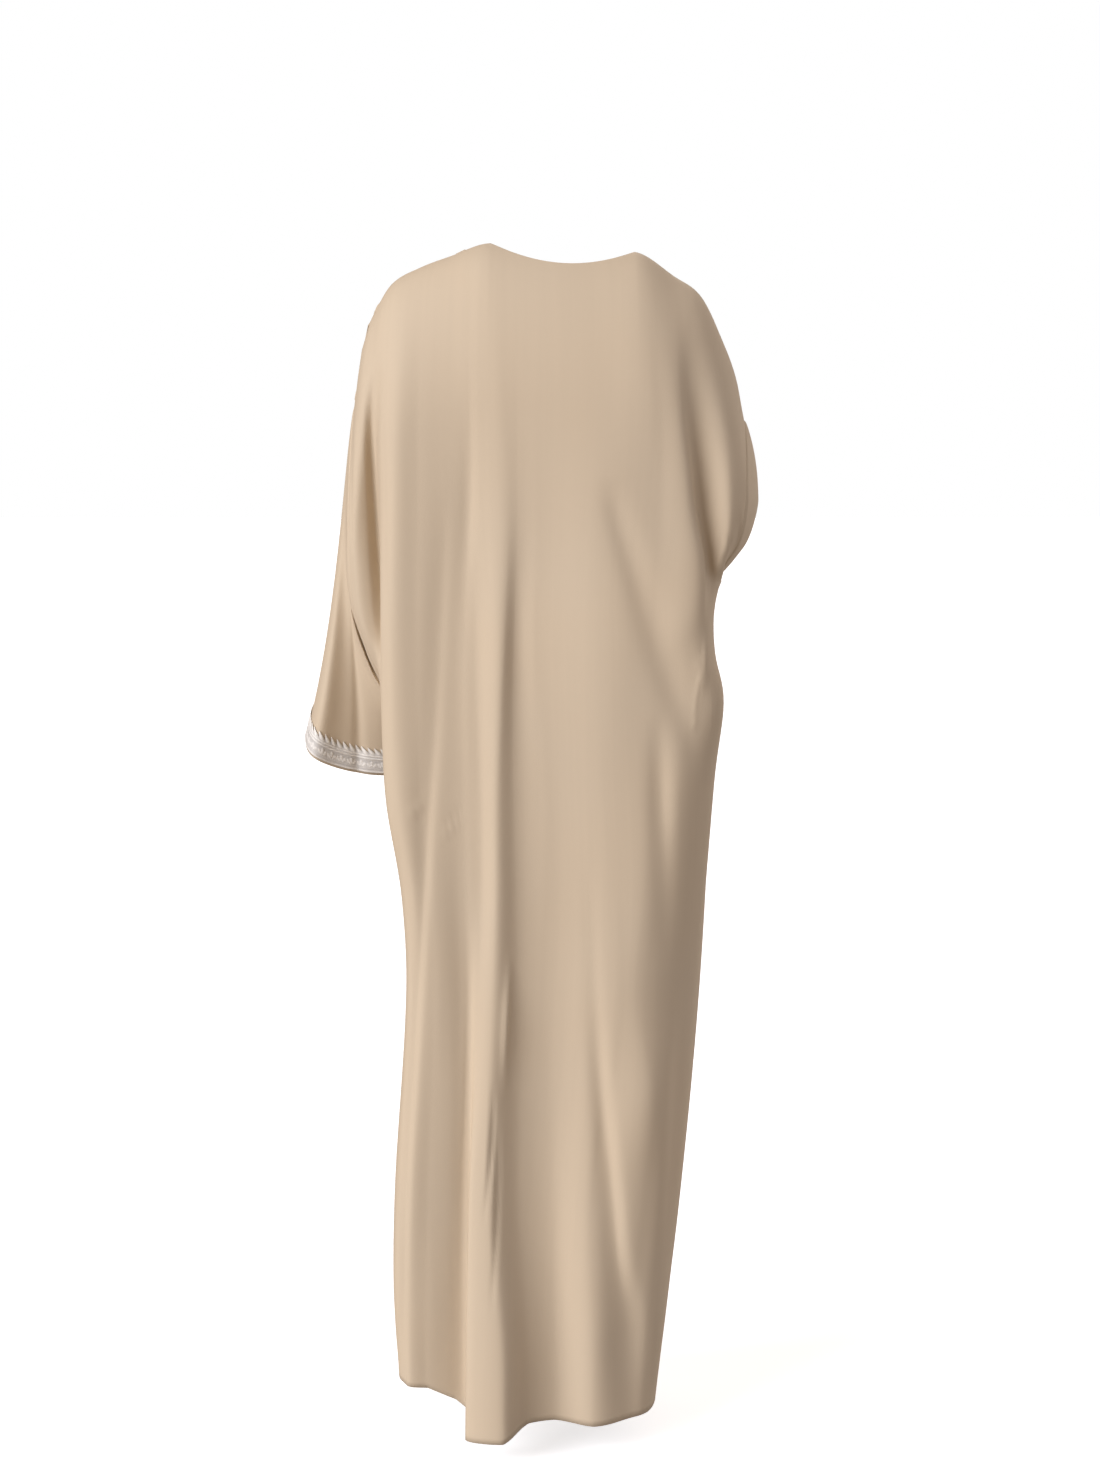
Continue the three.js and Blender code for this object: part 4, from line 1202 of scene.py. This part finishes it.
def share_above_cuff(side, angle, distance):
    """The share t of the way down a sleeve at a distance above the cuff's edge."""
    run = hoop(side, "middle", angle) - hoop(side, "cuff", angle)
    return 1 - distance / (3 * np.linalg.norm(run, axis=-1))


def bump_at(value, centre, width):
    """A bell: exp(-((value - centre) / width) squared)."""
    return np.exp(-(((value - centre) / width) ** 2))


def lace_relief(place, high):
    """How raised the thread is, 0 net to 1 cord, at a place round the cuff and a height above its edge.

    Lines are bells across their heights, and leaves stand by a cosine along the band. A fan is the upper
    half of a disc, whose rim and face wave by a cosine with seven petals to the full turn.
    """
    lines = sum(raised * bump_at(high, level, width) for level, width, raised in THREAD_LINES)
    along_leaf = (place / LEAF["pitch"]) % 1 - 0.5
    leaf_foot = np.clip((high - LEAF["foot"]) / LEAF_THREAD["edge"], 0, 1)
    leaves = leaf_foot * (LEAF_THREAD["mean"] + LEAF_THREAD["wave"] * np.cos(2 * np.pi * along_leaf))
    across = ((place / FAN["pitch"]) % 1 - 0.5) * FAN["pitch"]
    above = high - FAN["foot"]
    radius = np.hypot(across, above)
    petal = np.cos(FAN["petals"] * np.arctan2(across, np.maximum(above, 1e-5)))
    rim = FAN["radius"] * (FAN["mean"] + FAN["wave"] * petal)
    inside = np.clip((rim - radius) / FAN_THREAD["edge"], 0, 1) * np.clip(above / FAN_THREAD["edge"], 0, 1)
    ring = FAN_RING["raised"] * bump_at(radius, FAN_RING["radius"], FAN_RING["width"])
    fan = inside * (FAN_THREAD["mean"] + FAN_THREAD["wave"] * petal + ring)
    return np.clip(np.maximum.reduce([lines, leaves, fan]), 0, 1)


def lace_material():
    """Grey net and lighter thread, by the attribute "thread", with stitches as shade and bump."""
    cloth, tree = blank_material("machine_lace_viscose")
    place = add_node(tree, "ShaderNodeUVMap", {"uv_map": "cloth"}).outputs["UV"]
    thread = add_node(tree, "ShaderNodeAttribute", {"attribute_name": "thread"})
    strands = add_node(tree, "ShaderNodeTexNoise", {"Scale": 1 / THREAD, "Detail": 2.0}, {"Vector": place})
    colour = add_node(
        tree,
        "ShaderNodeMix",
        {"data_type": "RGBA", "A": linear("#c8c5c1"), "B": linear("#f2efe9")},
        {"Factor": thread.outputs["Fac"]},
    )
    look = {
        "Roughness": 0.6,
        "IOR": 1.5,
        "Specular IOR Level": 0.35,
        "Sheen Weight": 0.2,
        "Sheen Roughness": 0.4,
    }
    cloth_surface(
        tree,
        colour=colour.outputs["Result"],
        shades=(0.88, 1.06),
        noise=strands.outputs["Fac"],
        strength=0.5,
        relief=strands.outputs["Fac"],
        look=look,
    )
    return cloth


LACE = lace_material()

for side in ("left", "right"):
    rim_turn = round_the_arm(side, RIM_STEPS)
    rim = hoop(side, "cuff", rim_turn)
    steps = np.linalg.norm(np.roll(rim, -1, 0) - rim, axis=1)
    length = steps.sum()
    # The band is stretched round the cuff by so much that a whole number of leaves goes round it.
    leaves = round(length / LEAF["pitch"])
    columns = leaves * STEPS_PER_LEAF
    place = np.arange(columns) / columns * length
    leaf = np.abs((np.arange(columns) / STEPS_PER_LEAF) % 1 - 0.5) * 2
    top = LACE_BAND - LEAF["high"] * leaf ** LEAF["point"]
    high = mix(LACE_INSET, top, np.linspace(1, 0, LACE_ROWS + 1)[:, None])
    lean = LEAF["slant"] * np.clip((high - LEAF["foot"]) / (LACE_BAND - LEAF["foot"]), 0, 1) ** LEAF["curl"]
    round_place = (place + (-1 if side == "left" else 1) * lean) % length
    angle = np.interp(round_place, np.append(0, steps.cumsum()), np.append(rim_turn, -rim_turn[0]))
    relief = lace_relief(place * (leaves * LEAF["pitch"] / length), high)
    points = sleeve_point(side, angle, share_above_cuff(side, angle, high))
    lift = (LACE_LIFT + THREAD_HIGH * relief)[..., None]
    raised = points + grid_normals(points, closed=True) * lift
    lace = cloth_object(f"lace_{side}_galloon", raised, closed=True, thick=LACE_THICK)
    mark = lace.data.attributes.new("thread", "FLOAT", "POINT")
    mark.data.foreach_set("value", relief.reshape(-1).astype(np.float32))
    lace.data.materials.append(LACE)
    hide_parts(f"lace_{side}")
    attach(lace, "root")
